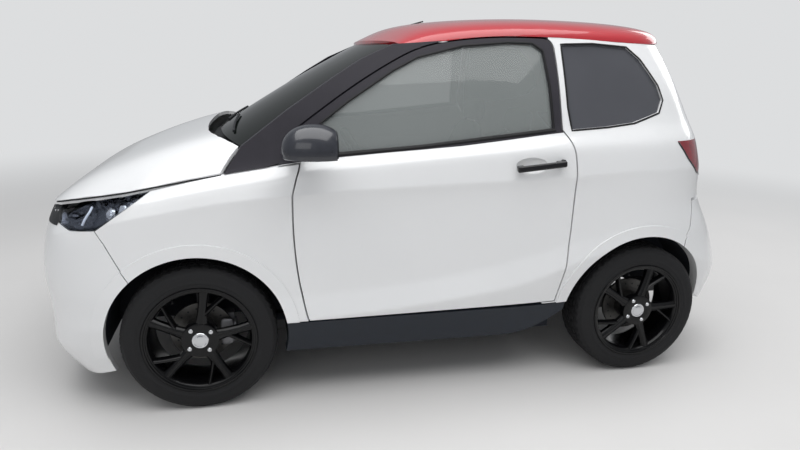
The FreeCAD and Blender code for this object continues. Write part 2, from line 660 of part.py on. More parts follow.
# Chassis rails, cross members behind both bumpers and arm brackets
RAIL_Y = 330.0
ARM_TOP = 232.0
rails = []
for y in (-RAIL_Y, RAIL_Y):
    rails.append(box(-1400, -641, y - 25, y + 25, 330, 390))
    rails.append(box(-700, 1230, y - 25, y + 25, 140, FLOOR_Z - SEAT))
    rails.append(box(-700, -641, y - 25, y + 25, 140, 390))
    rails.append(box(-930, -830, y - 25, y + 25, ARM_TOP + SEAT, 330))
    rails.append(box(1180, 1230, y - 25, y + 25, 140, 290))
ahead_bar = box(-1475, -1370, -300, 300, 330, 390).cut(nose_slab)
behind_bar = box(1180, 1475, -400, 400, 230, 290).cut(tail_slab)
rails.append(max(ahead_bar.Solids, key=lambda p: p.Volume))
rails.append(max(behind_bar.Solids, key=lambda p: p.Volume))
parts["chassis_frame"] = clean(rails[0].fuse(rails[1:]))

# Powertrain block, exhaust and tank
parts["engine"] = box(-1150, -720, -RAIL_Y + 25 + SEAT, RAIL_Y - 25 - SEAT, 340, 640)
pipe = rod((-640, 120, 165), (900, 120, 165), 18)
silencer = rod((900, 120, 165), (1150, 120, 165), 60)
hangers = [box(x, x + 12, 114, 126, 165, FLOOR_Z - SEAT) for x in (-500, 300)]
exhaust = pipe.fuse([silencer, rod((1150, 120, 165), (1370, 120, 165), 18)] + hangers)
parts["exhaust"] = clean(exhaust)
parts["fuel_tank"] = box(600, 850, -280, 60, 205, BOOT_Z - SEAT)

# Front arms and struts, rear beam with trailing arms
STUB = 625.7
ARM = [(-960, 305), (-800, 305), (-850, 548), (-910, 548)]
strut_room = Part.makeCylinder(ARCH_FRONT + 1 - SEAT, 2 * ACROSS,
                               V(FRONT_AXLE + ARCH_SHIFT, -ACROSS, HUB_Z), V(0, 1, 0))
arms = []
for sy in (-1, 1):
    arms.append(plan_prism([(x, sy * y) for x, y in ARM], ARM_TOP - 24, ARM_TOP))
    strut = rod((FRONT_AXLE, sy * 478, 520 + SEAT), (FRONT_AXLE, sy * 478, 656), 24)
    strut = strut.fuse(rod((FRONT_AXLE, sy * 478, 545), (FRONT_AXLE, sy * 478, 656), 40))
    arms.append(strut.common(strut_room))
parts["front_suspension"] = Part.makeCompound(arms)
beam = rod((REAR_AXLE, -600, HUB_Z), (REAR_AXLE, 600, HUB_Z), 30)
beam = beam.fuse(rod((REAR_AXLE, -STUB, HUB_Z), (REAR_AXLE, STUB, HUB_Z), 18))
for sy in (-1, 1):
    beam = beam.fuse(rod((REAR_AXLE, sy * 400, HUB_Z), (REAR_AXLE, sy * 400, BOOT_Z - SEAT), 40))
    beam = beam.fuse(box(575 + SEAT, REAR_AXLE, sy * 440 - 18, sy * 440 + 18, 262, 300))
parts["rear_suspension"] = clean(beam)

# Knuckle that steers, with hub, upright, top arm and calliper
knuckle = rod((FRONT_AXLE, -520, HUB_Z), (FRONT_AXLE, -618, HUB_Z), 48)
knuckle = knuckle.fuse([
    rod((FRONT_AXLE, -618, HUB_Z), (FRONT_AXLE, -STUB, HUB_Z), 18),
    box(FRONT_AXLE - 22, FRONT_AXLE + 22, -548, -512, ARM_TOP + SEAT, 520),
    box(FRONT_AXLE - 22, FRONT_AXLE + 22, -548, -462, 488, 520),
    box(FRONT_AXLE + 70, FRONT_AXLE + 120, -620, -575, HUB_Z - 60, HUB_Z + 60),
    box(FRONT_AXLE, FRONT_AXLE + 110, -592, -572, HUB_Z - 30, HUB_Z + 30)])
parts["knuckle_left"] = clean(knuckle)

# Wheel sections: radius, offset from the wheel's middle, outer face negative
TYRE = [(200, -76), (205, -84), (240, -88), (268, -84), (281, -66), (281, 66), (268, 84), (240, 88), (205, 84),
        (200, 76), (188, 76), (188, -76)]
RIM = [(187.7, -76.3), (199.8, -76.3), (204.8, -84.3), (206.2, -88), (204.5, -89.2), (199.5, -89), (196, -84),
       (190, -82), (186, -75), (181, -71), (174, -40), (172, 50), (179, 70), (196, 88), (204.8, 84.3),
       (199.8, 76.3), (187.7, 76.3)]
HUB_FACE = -84.0
HUB_R = 68.0
CAP_R = 31.0
SPOKES = 5
BOLTS = 4
BOLT_R = 50.0
WHEEL_TURN = {"front": -6.0, "rear": -15.0}
# Spoke and its side branch: distance out, distance aside, half width, offset of the ridge
SPOKE = [(52, 0, 23, -84), (100, 0, 17.5, -82), (145, 0, 16, -80.5), (183, 0, 19, -80)]
BRANCH = [(88, 0, 10, -80), (112, -20, 8.5, -80), (140, -44, 8, -79.5), (168, -70, 8, -79)]
# Half section of a bar: share of the half width, depth behind the ridge
RIDGE = [(0.4, 0), (1, 9), (1, 26)]


def turned(points):
    face = Part.Face(Part.makePolygon([V(r, t, 0) for r, t in points + points[:1]]))
    return face.revolve(V(0, 0, 0), V(0, 1, 0), 360)


def bar(line):
    """Ridged bar through the points of a spoke table."""
    wires = []
    for i, (x, z, half, face) in enumerate(line):
        p = line[max(0, i - 1)]
        q = line[min(len(line) - 1, i + 1)]
        run = math.hypot(q[0] - p[0], q[1] - p[1])
        across = ((p[1] - q[1]) / run, (q[0] - p[0]) / run)
        section = [(s * half, d) for s, d in RIDGE] + [(-s * half, d) for s, d in reversed(RIDGE)]
        points = [V(x + across[0] * a, face + d, z + across[1] * a) for a, d in section]
        wires.append(Part.makePolygon(points + points[:1]))
    return Part.makeLoft(wires, True, True)


def wheel(x, sy, turn):
    rim = turned(RIM).fuse(Part.makeCylinder(HUB_R, 34, V(0, HUB_FACE, 0), V(0, 1, 0)))
    arms = []
    for i in range(SPOKES):
        for line in (SPOKE, BRANCH):
            arm = bar(line)
            arm.rotate(V(0, 0, 0), V(0, 1, 0), -(360 / SPOKES * i + 90 + turn))
            arms.append(arm)
    rim = rim.fuse(arms).cut(Part.makeCylinder(CAP_R, 5, V(0, HUB_FACE, 0), V(0, 1, 0)))
    for i in range(BOLTS):
        a = math.radians(360 / BOLTS * i + 45 + turn)
        seat = Part.makeCylinder(10.5, 8, V(BOLT_R * math.cos(a), HUB_FACE, BOLT_R * math.sin(a)), V(0, 1, 0))
        rim = rim.cut(seat)
    disc = Part.makeCylinder(115, 12, V(0, 2, 0), V(0, 1, 0))
    bell = Part.makeCylinder(60, 60, V(0, -51, 0), V(0, 1, 0))
    rim = rim.fuse([disc, bell])
    out = []
    for p in (clean(rim), turned(TYRE)):
        if sy > 0:
            p.rotate(V(0, 0, 0), V(0, 0, 1), 180)
        p.translate(V(x, sy * RIM_Y, HUB_Z))
        out.append(p)
    return out


for end, x in (("front", FRONT_AXLE), ("rear", REAR_AXLE)):
    for side, sy in (("left", -1), ("right", 1)):
        rim, tyre = wheel(x, sy, WHEEL_TURN[end])
        parts["rim_" + end + "_" + side] = rim
        parts["tyre_" + end + "_" + side] = tyre

# Mirror on the door's sail panel: a domed housing, flat behind, with a sunk glass face
MIRROR = (-500.0, -828.0, 1020.0)
MIRROR_HALF = (96.0, 77.0, 52.0)
MIRROR_BACK = -424.0
MIRROR_RIM = 0.86


def dome(share):
    m = FreeCAD.Matrix()
    m.scale(*[h * share for h in MIRROR_HALF])
    shape = Part.makeSphere(1).transformGeometry(m)
    shape.translate(V(*MIRROR))
    return shape


shell = dome(1).common(box(-700, MIRROR_BACK, -950, -700, MIRROR[2] - 44, 1100))
shell = shell.cut(dome(MIRROR_RIM).common(box(MIRROR_BACK - 6, -300, -950, -700, 900, 1100)))
foot = box(-556, -500, -800, -672, 980, 1004)
parts["mirror_left"] = clean(shell.fuse(foot).cut(leaf))

# Door handle bridging a dish in the skin
HANDLE = (400.0, -764.0, 918.0)
HANDLE_TILT = -6.0
grip = box(-100, 100, -8, 8, -12, 12)
grip = grip.makeFillet(7, grip.Edges).fuse([box(-92, -70, 0, 32, -10, 10), box(70, 92, 0, 32, -10, 10)])
grip.rotate(V(0, 0, 0), V(0, 1, 0), HANDLE_TILT)
grip.translate(V(*HANDLE))
dish = Part.makeSphere(1)
m = FreeCAD.Matrix()
m.scale(66, 20, 32)
dish = dish.transformGeometry(m)
dish.translate(V(HANDLE[0] - 30, -738, HANDLE[2]))
parts["door_left"] = clean(parts["door_left"].cut(dish))
parts["door_left_handle"] = clean(grip.cut(leaf))

# Cabin
dash = side_prism([(-612 + SEAT, 700), (-612 + SEAT, 905), (-560, 950), (-430, 960), (-350, 880), (-360, 760), (-450, 700)],
                  -BOOT_W, BOOT_W)
parts["dashboard"] = dash
seats = []
for y in (-290, 290):
    cushion = side_prism([(-60, 330), (-60, 450), (-30, 470), (380, 430), (395, 330)], y - 215, y + 215)
    back = side_prism([(395.4, 330), (380.4, 430.3), (300, 500), (430, 1000), (470, 1110), (520, 1100), (500, 980), (430, 330)],
                      y - 205, y + 205)
    plinth = box(0, 340, y - 150, y + 150, FLOOR_Z + FLOOR_T + SEAT, 330)
    seats.append(clean(cushion.fuse([back, plinth])))
parts["seats"] = Part.makeCompound(seats)

# Steering wheel and its column, tilted towards the driver
COLUMN = (-215, -290, 850)
tilt = 62.0
ring = Part.makeTorus(170, 14, V(0, 0, 0), V(0, 0, 1))
ring = ring.fuse([Part.makeCylinder(50, 26, V(0, 0, -16)), box(-165, 165, -14, 14, -8, 4)])
ring = ring.fuse(rod((0, 0, -230), (0, 0, -10), 20))
ring.rotate(V(0, 0, 0), V(0, 1, 0), tilt)
ring.translate(V(*COLUMN))
socket = rod((0, 0, -400), (0, 0, 0), 20 + SEAT)
socket.rotate(V(0, 0, 0), V(0, 1, 0), tilt)
socket.translate(V(*COLUMN))
parts["steering_wheel"] = clean(ring)
parts["dashboard"] = clean(dash.cut(socket))

# Wipers, aerial and plates
wipers = []
for start in (-0.62, 0.12):
    line = [screen_point(0.05 + 0.02 * i, start + 0.12 * i, 4.2) for i in range(5)]
    arm = rod(line[0], line[1], 5)
    blade = arm.fuse([rod(p, q, 5) for p, q in zip(line[1:], line[2:])])
    wipers.append(max(blade.cut(parts["windscreen"]).Solids, key=lambda p: p.Volume))
parts["wipers"] = Part.makeCompound(wipers)
mast = rod((-30, 0, 1425), (110, 0, 1466), 3).fuse(Part.makeCylinder(12, 12, V(-30, 0, 1418)))
parts["antenna"] = max(mast.cut(parts["roof"]).Solids, key=lambda p: p.Volume)
front_plate = box(-1478.5, -1440, -230, 230, 345, 450).cut(nose_slab)
parts["front_plate"] = max(front_plate.Solids, key=lambda p: -p.CenterOfMass.x)
rear_plate = box(1270, 1322, -230, 230, 770, 875).cut(tail_slab)
parts["rear_plate"] = max(rear_plate.Solids, key=lambda p: p.CenterOfMass.x)

for name in list(parts):
    if "_left" in name and name.replace("_left", "_right") not in parts:
        parts[name.replace("_left", "_right")] = mirrored(parts[name])

for name, shape in sorted(parts.items()):
    shape.exportStep("parts/" + name + ".step")
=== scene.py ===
import math

import bpy
from mathutils import Matrix, Vector
from mathutils.bvhtree import BVHTree


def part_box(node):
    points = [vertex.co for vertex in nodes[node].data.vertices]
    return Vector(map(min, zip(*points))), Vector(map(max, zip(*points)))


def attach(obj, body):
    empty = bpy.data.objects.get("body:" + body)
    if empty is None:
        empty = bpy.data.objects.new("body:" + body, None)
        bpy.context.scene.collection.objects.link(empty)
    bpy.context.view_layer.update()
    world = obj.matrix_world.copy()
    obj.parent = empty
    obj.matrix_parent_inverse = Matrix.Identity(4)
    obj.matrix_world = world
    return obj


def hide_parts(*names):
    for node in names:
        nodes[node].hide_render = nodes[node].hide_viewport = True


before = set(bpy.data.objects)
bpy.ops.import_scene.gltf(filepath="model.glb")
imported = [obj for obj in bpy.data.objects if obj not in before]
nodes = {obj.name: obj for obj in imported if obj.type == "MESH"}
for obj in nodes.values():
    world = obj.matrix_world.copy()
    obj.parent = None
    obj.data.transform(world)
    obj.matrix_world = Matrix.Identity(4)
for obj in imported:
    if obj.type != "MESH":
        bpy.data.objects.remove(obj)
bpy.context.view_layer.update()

# Driving sizes in metres
HUB_Z = 0.281
AXLES = {"front": -0.88, "rear": 0.92}
TRACK = 0.64
WHEEL_TURN = {"front": -6.0, "rear": -15.0}
SPOKES = 5
BOLTS = 4
BOLT_CIRCLE = 0.050
SIDES = {"left": -1, "right": 1}

# Materials
NOISE_MIDDLE = (0.3, 0.7)
COAT_ROUGHNESS = 0.03
BUMP_HEIGHT = 0.001
# Edges that turn by more degrees than this stay sharp on the CAD pieces
CAD_SMOOTH = 32.0


def shader(name, color, rough=0.5, metal=0.0, coat=0.0, alpha=1.0, trans=0.0, ior=1.5, sheen=0.0, glow=0.0,
           spec=0.5):
    m = bpy.data.materials.new(name)
    m.use_nodes = True
    b = m.node_tree.nodes["Principled BSDF"]
    b.inputs["Base Color"].default_value = (*color, 1)
    b.inputs["Roughness"].default_value = rough
    b.inputs["Metallic"].default_value = metal
    b.inputs["Coat Weight"].default_value = coat
    b.inputs["Coat Roughness"].default_value = COAT_ROUGHNESS
    b.inputs["Alpha"].default_value = alpha
    b.inputs["Transmission Weight"].default_value = trans
    b.inputs["IOR"].default_value = ior
    b.inputs["Sheen Weight"].default_value = sheen
    b.inputs["Specular IOR Level"].default_value = spec
    if glow:
        b.inputs["Emission Color"].default_value = (*color, 1)
        b.inputs["Emission Strength"].default_value = glow
    return m


def noise_range(t, noise, low, high):
    """Stretches the middle of a noise over the range from low to high."""
    span = t.nodes.new("ShaderNodeMapRange")
    span.inputs["From Min"].default_value, span.inputs["From Max"].default_value = NOISE_MIDDLE
    span.inputs["To Min"].default_value = low
    span.inputs["To Max"].default_value = high
    t.links.new(noise.outputs["Fac"], span.inputs["Value"])
    return span.outputs["Result"]


def vary(m, scale, amount, rough_amount=0.0, bump=0.0, bump_scale=None):
    """Noise over the object's own place: colour, roughness and small bumps."""
    t = m.node_tree
    b = t.nodes["Principled BSDF"]
    place = t.nodes.new("ShaderNodeTexCoord")
    noise = t.nodes.new("ShaderNodeTexNoise")
    noise.inputs["Scale"].default_value = scale
    noise.inputs["Detail"].default_value = 4.0
    t.links.new(place.outputs["Object"], noise.inputs["Vector"])
    base = b.inputs["Base Color"].default_value[:3]
    mix = t.nodes.new("ShaderNodeMix")
    mix.data_type = "RGBA"
    mix.inputs["A"].default_value = (*[c * (1 - amount) for c in base], 1)
    mix.inputs["B"].default_value = (*[min(1.0, c * (1 + amount)) for c in base], 1)
    t.links.new(noise_range(t, noise, 0.0, 1.0), mix.inputs["Factor"])
    t.links.new(mix.outputs["Result"], b.inputs["Base Color"])
    if rough_amount:
        rough = b.inputs["Roughness"].default_value
        spread = noise_range(t, noise, rough - rough_amount, rough + rough_amount)
        t.links.new(spread, b.inputs["Roughness"])
    if bump:
        fine = t.nodes.new("ShaderNodeTexNoise")
        fine.inputs["Scale"].default_value = bump_scale or scale * 8
        fine.inputs["Detail"].default_value = 3
        t.links.new(place.outputs["Object"], fine.inputs["Vector"])
        node = t.nodes.new("ShaderNodeBump")
        node.inputs["Strength"].default_value = bump
        node.inputs["Distance"].default_value = BUMP_HEIGHT
        t.links.new(fine.outputs["Fac"], node.inputs["Height"])
        t.links.new(node.outputs["Normal"], b.inputs["Normal"])
    return m


white = vary(shader("white_paint", (0.80, 0.805, 0.81), 0.30, coat=0.8), 3.0, 0.008, 0.02)
red = vary(shader("red_paint", (0.45, 0.010, 0.020), 0.35, coat=0.9), 3.0, 0.04, 0.03)
trim = vary(shader("dark_trim", (0.026, 0.024, 0.031), 0.50, ior=1.35), 20, 0.08, 0.05, 0.15, 700)
plastic = vary(shader("black_plastic", (0.014, 0.015, 0.017), 0.6, spec=0.35), 30, 0.15, 0.08, 0.3, 900)
sill_paint = vary(shader("sill_plastic", (0.016, 0.020, 0.028), 0.5, spec=0.35), 25, 0.12, 0.06, 0.3, 900)
gloss = vary(shader("black_gloss", (0.005, 0.005, 0.007), 0.16, coat=0.35, ior=1.35), 12, 0.1, 0.03)
wheel_paint = vary(shader("wheel_paint", (0.003, 0.003, 0.0035), 0.22, coat=0.15, ior=1.30), 18, 0.1, 0.04)
rubber = vary(shader("tyre_rubber", (0.013, 0.013, 0.014), 0.75, spec=0.3), 14, 0.18, 0.08, 0.25, 1400)
# Seal rubber, also used for painted shade: the dark tubes in the bonnet's and the glovebox's shut lines
seal_and_gap_shade = vary(shader("seal_rubber_and_gap_shade", (0.007, 0.007, 0.008), 0.55, spec=0.3), 40, 0.12, 0.06, 0.2, 900)
# Liner plastic, also used for painted shade: the dark dots in place of the brake discs' drilled holes
liner_and_hole_shade = vary(shader("liner_plastic_and_hole_shade", (0.008, 0.010, 0.016), 0.75, spec=0.3), 18, 0.2, 0.05, 0.4, 500)
dark_glass = vary(shader("dark_glass", (0.004, 0.006, 0.005), 0.05, alpha=0.98, ior=1.10), 2, 0.1, 0.008)
rear_glass = vary(shader("tinted_glass", (0.075, 0.077, 0.088), 0.03, coat=0.3, alpha=0.95), 2, 0.1, 0.008)
side_glass = vary(shader("side_glass", (0.30, 0.325, 0.32), 0.03, alpha=0.50), 2, 0.02)
clear = vary(shader("clear_lens", (0.80, 0.83, 0.88), 0.02, trans=1.0, ior=1.05, spec=0.3), 2, 0.01)
lamp_red = vary(shader("red_lens", (0.22, 0.004, 0.012), 0.10, coat=0.5), 40, 0.15, 0.02)
chrome = vary(shader("chrome", (0.60, 0.61, 0.63), 0.12, metal=1.0), 30, 0.05, 0.04)
mirror_paint = vary(shader("mirror_paint", (0.016, 0.018, 0.026), 0.30, coat=0.7), 30, 0.1, 0.05)
dark_chrome = vary(shader("dark_chrome", (0.085, 0.090, 0.105), 0.25, metal=0.8), 30, 0.1, 0.05)
mirror_face = vary(shader("mirror_face", (0.70, 0.73, 0.75), 0.03, metal=1.0), 5, 0.02, 0.01)
disc_metal = vary(shader("disc_metal", (0.085, 0.083, 0.080), 0.42, metal=0.9), 60, 0.15, 0.08, 0.2, 600)
cast = vary(shader("cast_metal", (0.20, 0.20, 0.21), 0.5, metal=0.6), 40, 0.15, 0.1, 0.5, 300)
pipe_metal = vary(shader("pipe_metal", (0.22, 0.20, 0.18), 0.4, metal=1.0), 25, 0.2, 0.1, 0.2, 400)
frame_paint = vary(shader("frame_paint", (0.022, 0.022, 0.025), 0.5), 15, 0.2, 0.1, 0.3, 300)
cloth = vary(shader("seat_cloth", (0.040, 0.041, 0.046), 0.88, sheen=0.3), 90, 0.30, 0.0, 0.8, 1600)
plate_paint = vary(shader("plate_paint", (0.72, 0.72, 0.71), 0.35), 12, 0.03, 0.05)
reflector = vary(shader("reflector", (0.30, 0.006, 0.012), 0.10, coat=1.0), 60, 0.2, 0.02, 0.5, 500)
glow = vary(shader("light_guide", (0.70, 0.73, 0.80), 0.2, glow=0.12), 10, 0.02)
screen_face = vary(shader("display_face", (0.010, 0.012, 0.016), 0.08, coat=0.8), 8, 0.1, 0.02)

LOOKS = {
    "front_wings": white, "door_left": white, "door_right": white, "side_panels": white, "tailgate": white,
    "front_bumper": white, "rear_bumper": white, "bonnet": white, "roof": red,
    "door_left_frame": trim, "door_right_frame": trim, "pillar_frame": trim,
    "door_left_window": side_glass, "door_right_window": side_glass,
    "quarter_windows": rear_glass, "tailgate_window": rear_glass, "windscreen": dark_glass,
    "tail_lamps": lamp_red, "headlamps": dark_chrome, "headlamp_lenses": clear, "grille": plastic,
    "sills": sill_paint, "cowl": plastic, "floor_pan": liner_and_hole_shade, "bulkhead": liner_and_hole_shade, "arch_liners": liner_and_hole_shade,
    "chassis_frame": frame_paint, "engine": cast, "exhaust": pipe_metal, "fuel_tank": plastic,
    "front_suspension": frame_paint, "rear_suspension": frame_paint,
    "knuckle_left": cast, "knuckle_right": cast, "mirror_left": plastic, "mirror_right": plastic,
    "door_left_handle": gloss, "door_right_handle": gloss, "dashboard": plastic, "seats": cloth,
    "steering_wheel": plastic, "wipers": plastic, "antenna": plastic,
    "front_plate": plate_paint, "rear_plate": plate_paint,
}
for name, obj in nodes.items():
    look = LOOKS.get(name)
    if look is None:
        look = rubber if name.startswith("tyre") else wheel_paint
    obj.data.materials.clear()
    obj.data.materials.append(look)
    for p in obj.data.polygons:
        p.use_smooth = True
    obj.data.set_sharp_from_angle(angle=math.radians(CAD_SMOOTH))


# Meshes
def new_object(name, shape):
    mesh = bpy.data.meshes.new(name)
    mesh.from_pydata([tuple(v) for v in shape.verts], [], shape.faces)
    mesh.update()
    obj = bpy.data.objects.new(name, mesh)
    bpy.context.scene.collection.objects.link(obj)
    return obj


def make(name, shape, look, body, smooth=40.0, replaced=(), smoothed=0):
    """Piece of the scene on a body; smooth is the angle of edges that stay sharp, 0 for none."""
    obj = new_object(name, shape)
    mesh = obj.data
    mesh.materials.append(look)
    for p in mesh.polygons:
        p.use_smooth = True
    if smooth:
        mesh.set_sharp_from_angle(angle=math.radians(smooth))
    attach(obj, body)
    if replaced:
        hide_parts(*replaced)
    if smoothed:
        sub = obj.modifiers.new("smooth", "SUBSURF")
        sub.levels = smoothed
        sub.render_levels = smoothed
    return obj


def grid_faces(rows, cols, wrap_rows=False, wrap_cols=False):
    faces = []
    for i in range(rows if wrap_rows else rows - 1):
        for j in range(cols if wrap_cols else cols - 1):
            a = i * cols + j
            b = i * cols + (j + 1) % cols
            c = ((i + 1) % rows) * cols + (j + 1) % cols
            d = ((i + 1) % rows) * cols + j
            faces.append((a, b, c, d))
    return faces


def bar_faces(rows, cols, closed=False):
    """Faces around a bar, with its two ends unless it closes on itself."""
    faces = grid_faces(rows, cols, closed, True)
    if not closed:
        faces.append(tuple(range(cols))[::-1])
        faces.append(tuple((rows - 1) * cols + k for k in range(cols)))
    return faces


def along_at(points, i, closed=False):
    """Direction of a line of points at point i."""
    n = len(points)
    before = points[(i - 1) % n] if closed else points[max(0, i - 1)]
    after = points[(i + 1) % n] if closed else points[min(n - 1, i + 1)]
    return (after - before).normalized()


def signed_power(value, power):
    """Share of a superellipse's half size: power 2 is round, and a higher one squarer."""
    return math.copysign(abs(value) ** (2 / power), value)


class Mesh:
    """Collects several shapes into one mesh."""

    def __init__(self):
        self.verts = []
        self.faces = []

    def add(self, verts, faces):
        n = len(self.verts)
        self.verts += [Vector(v) for v in verts]
        self.faces += [tuple(n + i for i in f) for f in faces]

    def lathe(self, profile, steps, shape=None):
        """Closed profile of (radius, offset) pairs turned about the local z axis."""
        verts = []
        for i in range(steps):
            a = 2 * math.pi * i / steps
            for j, (r, w) in enumerate(profile):
                q = r + (shape(i, j) if shape else 0.0)
                verts.append((q * math.cos(a), q * math.sin(a), w))
        self.add(verts, grid_faces(steps, len(profile), True, True))

    def tube(self, points, wide, thick=None, steps=12, closed=False, up=(0, 0, 1), round_off=2.0):
        """Bar of an oval section along points; round_off above 2 squares the section."""
        points = [Vector(p) for p in points]
        thick = wide if thick is None else thick
        verts = []
        for i, p in enumerate(points):
            along = along_at(points, i, closed)
            side = along.cross(Vector(up)).normalized()
            high = side.cross(along)
            for k in range(steps):
                a = 2 * math.pi * k / steps
                c = signed_power(math.cos(a), round_off)
                s = signed_power(math.sin(a), round_off)
                verts.append(p + side * (c * wide) + high * (s * thick))
        self.add(verts, bar_faces(len(points), steps, closed))

    def pad(self, centre, half, power=4.0, steps=24):
        """Rounded block: a superellipsoid with the half sizes given."""
        rows = steps // 2
        verts = []
        for i in range(rows + 1):
            v = math.pi * (i / rows - 0.5)
            for j in range(steps):
                u = 2 * math.pi * j / steps
                out = signed_power(math.cos(v), power)
                verts.append((centre[0] + half[0] * out * signed_power(math.cos(u), power),
                              centre[1] + half[1] * out * signed_power(math.sin(u), power),
                              centre[2] + half[2] * signed_power(math.sin(v), power)))
        self.add(verts, grid_faces(rows + 1, steps, False, True))

    def place(self, matrix, start=0):
        for i in range(start, len(self.verts)):
            self.verts[i] = matrix @ self.verts[i]
        return self


# Wheels: local x right, y up and z outward, seen from outside
def tyre_profile():
    """Closed section (radius, offset) from the outer bead over the tread to the inner bead."""
    outer = [(0.188, 0.0765), (0.2005, 0.0780), (0.2055, 0.0840), (0.2085, 0.0865), (0.214, 0.0868),
             (0.222, 0.0874), (0.2235, 0.0884), (0.2265, 0.0886), (0.228, 0.0878), (0.240, 0.0880),
             (0.252, 0.0868), (0.262, 0.0838), (0.2645, 0.0826), (0.266, 0.0800), (0.2705, 0.0765),
             (0.2760, 0.0715), (0.2790, 0.066)]
    tread = []
    for g in (0.042, 0.015, -0.015, -0.042):
        tread += [(0.281, g + 0.0042), (0.2755, g + 0.0034), (0.2755, g - 0.0034), (0.281, g - 0.0042)]
    return outer + tread + [(r, -w) for r, w in reversed(outer)]


TYRE_STEPS = 300
SIPE_DEPTH = 0.0045
SIPE_EVERY = 6
# Steps of lean per metre of offset, on the shoulders and on the middle ribs
SHOULDER_LEAN = 260
MIDDLE_LEAN = 180
MIDDLE_HALF = 0.02
SHOULDER_ROWS = 15


def tyre_mesh():
    """Tread with four grooves and angled sipes cut as narrow notches."""
    profile = tyre_profile()

    def notch(i, j):
        if j < SHOULDER_ROWS or j >= len(profile) - SHOULDER_ROWS:
            return 0.0
        w = profile[j][1]
        lean = abs(w) * SHOULDER_LEAN if abs(w) > MIDDLE_HALF else w * MIDDLE_LEAN
        return -SIPE_DEPTH if (i + int(round(lean))) % SIPE_EVERY == 0 else 0.0

    m = Mesh()
    m.lathe(profile, TYRE_STEPS, notch)
    return m


BARREL = [(0.1877, 0.0763), (0.1998, 0.0763), (0.2048, 0.0843), (0.2060, 0.0876), (0.2052, 0.0888),
          (0.2040, 0.0891), (0.1995, 0.0889), (0.1982, 0.0880), (0.1968, 0.0850), (0.1955, 0.0842),
          (0.1930, 0.0838), (0.1912, 0.0830), (0.1902, 0.0806), (0.1890, 0.0798), (0.1872, 0.0792),
          (0.1858, 0.0780), (0.1845, 0.0752), (0.1812, 0.0712), (0.1780, 0.0580), (0.1745, 0.0400),
          (0.1720, -0.0500), (0.1790, -0.0700), (0.1960, -0.0880), (0.2048, -0.0843), (0.1998, -0.0763),
          (0.1877, -0.0763), (0.1800, -0.0640), (0.1765, -0.0450), (0.1790, 0.0350), (0.1830, 0.0600)]
HUB = [(0.0, 0.079), (0.0305, 0.079), (0.0312, 0.0835), (0.0330, 0.0842), (0.0625, 0.0838),
       (0.0665, 0.0825), (0.0680, 0.0790), (0.0680, 0.0500), (0.0, 0.0500)]
# Bars by (out, across, half width, height of the ridge) from the hub to the barrel
SPOKE = [(0.052, 0.0, 0.0230, 0.0840), (0.075, 0.0, 0.0198, 0.0832), (0.100, 0.0, 0.0175, 0.0822),
         (0.145, 0.0, 0.0160, 0.0806), (0.170, 0.0, 0.0172, 0.0802), (0.186, 0.0, 0.0195, 0.0799)]
BRANCH = [(0.088, 0.0, 0.0100, 0.0802), (0.112, -0.020, 0.0085, 0.0800), (0.140, -0.044, 0.0080, 0.0795),
          (0.158, -0.061, 0.0080, 0.0792), (0.170, -0.0725, 0.0086, 0.0790)]
# Section of a bar: share of the half width, height below the ridge
RIDGE = [(-1.0, 0.026), (-1.0, 0.0095), (-0.94, 0.0080), (-0.46, 0.0004), (-0.40, 0.0), (-0.34, 0.0005),
         (-0.26, 0.0016), (0.26, 0.0016), (0.34, 0.0005), (0.40, 0.0), (0.46, 0.0004), (0.94, 0.0080),
         (1.0, 0.0095), (1.0, 0.026)]


def bar(m, line):
    """Ridged bar with a shallow channel along its top."""
    verts = []
    centres = [Vector(p[:2]) for p in line]
    for i, (x, y, half, top) in enumerate(line):
        d = along_at(centres, i)
        for s, w in RIDGE:
            verts.append((x - d.y * half * s, y + d.x * half * s, top - w))
    m.add(verts, bar_faces(len(line), len(RIDGE)))


def rim_mesh(turn):
    """Barrel with its stepped lip, hub, and five spokes with a side branch each."""
    m = Mesh()
    m.lathe(BARREL, 120)
    m.lathe(HUB, 64)
    for k in range(SPOKES):
        start = len(m.verts)
        bar(m, SPOKE)
        bar(m, BRANCH)
        m.place(Matrix.Rotation(math.radians(360 / SPOKES * k + 90 + turn), 4, "Z"), start)
    return m


def ring_of(count, circle, angle, profile, steps=24):
    """Turned pieces set evenly on a circle."""
    m = Mesh()
    for k in range(count):
        a = math.radians(360 / count * k + angle)
        start = len(m.verts)
        m.lathe(profile, steps)
        m.place(Matrix.Translation((circle * math.cos(a), circle * math.sin(a), 0)), start)
    return m


BOLT = [(0.0, 0.0862), (0.0042, 0.0860), (0.0050, 0.0848), (0.0072, 0.0850), (0.0086, 0.0835),
        (0.0092, 0.0800), (0.0092, 0.0765), (0.0, 0.0765)]
CAP = [(0.0, 0.0868), (0.011, 0.0867), (0.0185, 0.0862), (0.0205, 0.0852), (0.0225, 0.0852),
       (0.0240, 0.0862), (0.0285, 0.0858), (0.0302, 0.0840), (0.0302, 0.0785), (0.0, 0.0785)]
DISC = [(0.056, -0.0025), (0.0745, -0.0025), (0.0755, -0.0018), (0.1140, -0.0018), (0.1150, -0.0028),
        (0.1150, -0.0130), (0.1140, -0.0140), (0.056, -0.0140)]
BELL = [(0.0, 0.0500), (0.056, 0.0500), (0.0595, 0.0465), (0.0600, 0.0030), (0.0600, -0.0090),
        (0.0, -0.0090)]
# Dark dot on the disc's face: painted shade that stands in for a drilled hole
HOLE_SHADE_DOT = [(0.0, -0.0012), (0.0030, -0.0012), (0.0036, -0.0017), (0.0, -0.0017)]
DISC_HOLES = 18
HOLE_CIRCLE = 0.092
VALVE = [(0.181, 0, 0.066), (0.176, 0, 0.079), (0.1745, 0, 0.084)]
VALVE_RADIUS = 0.0032
VALVE_TURN = 126


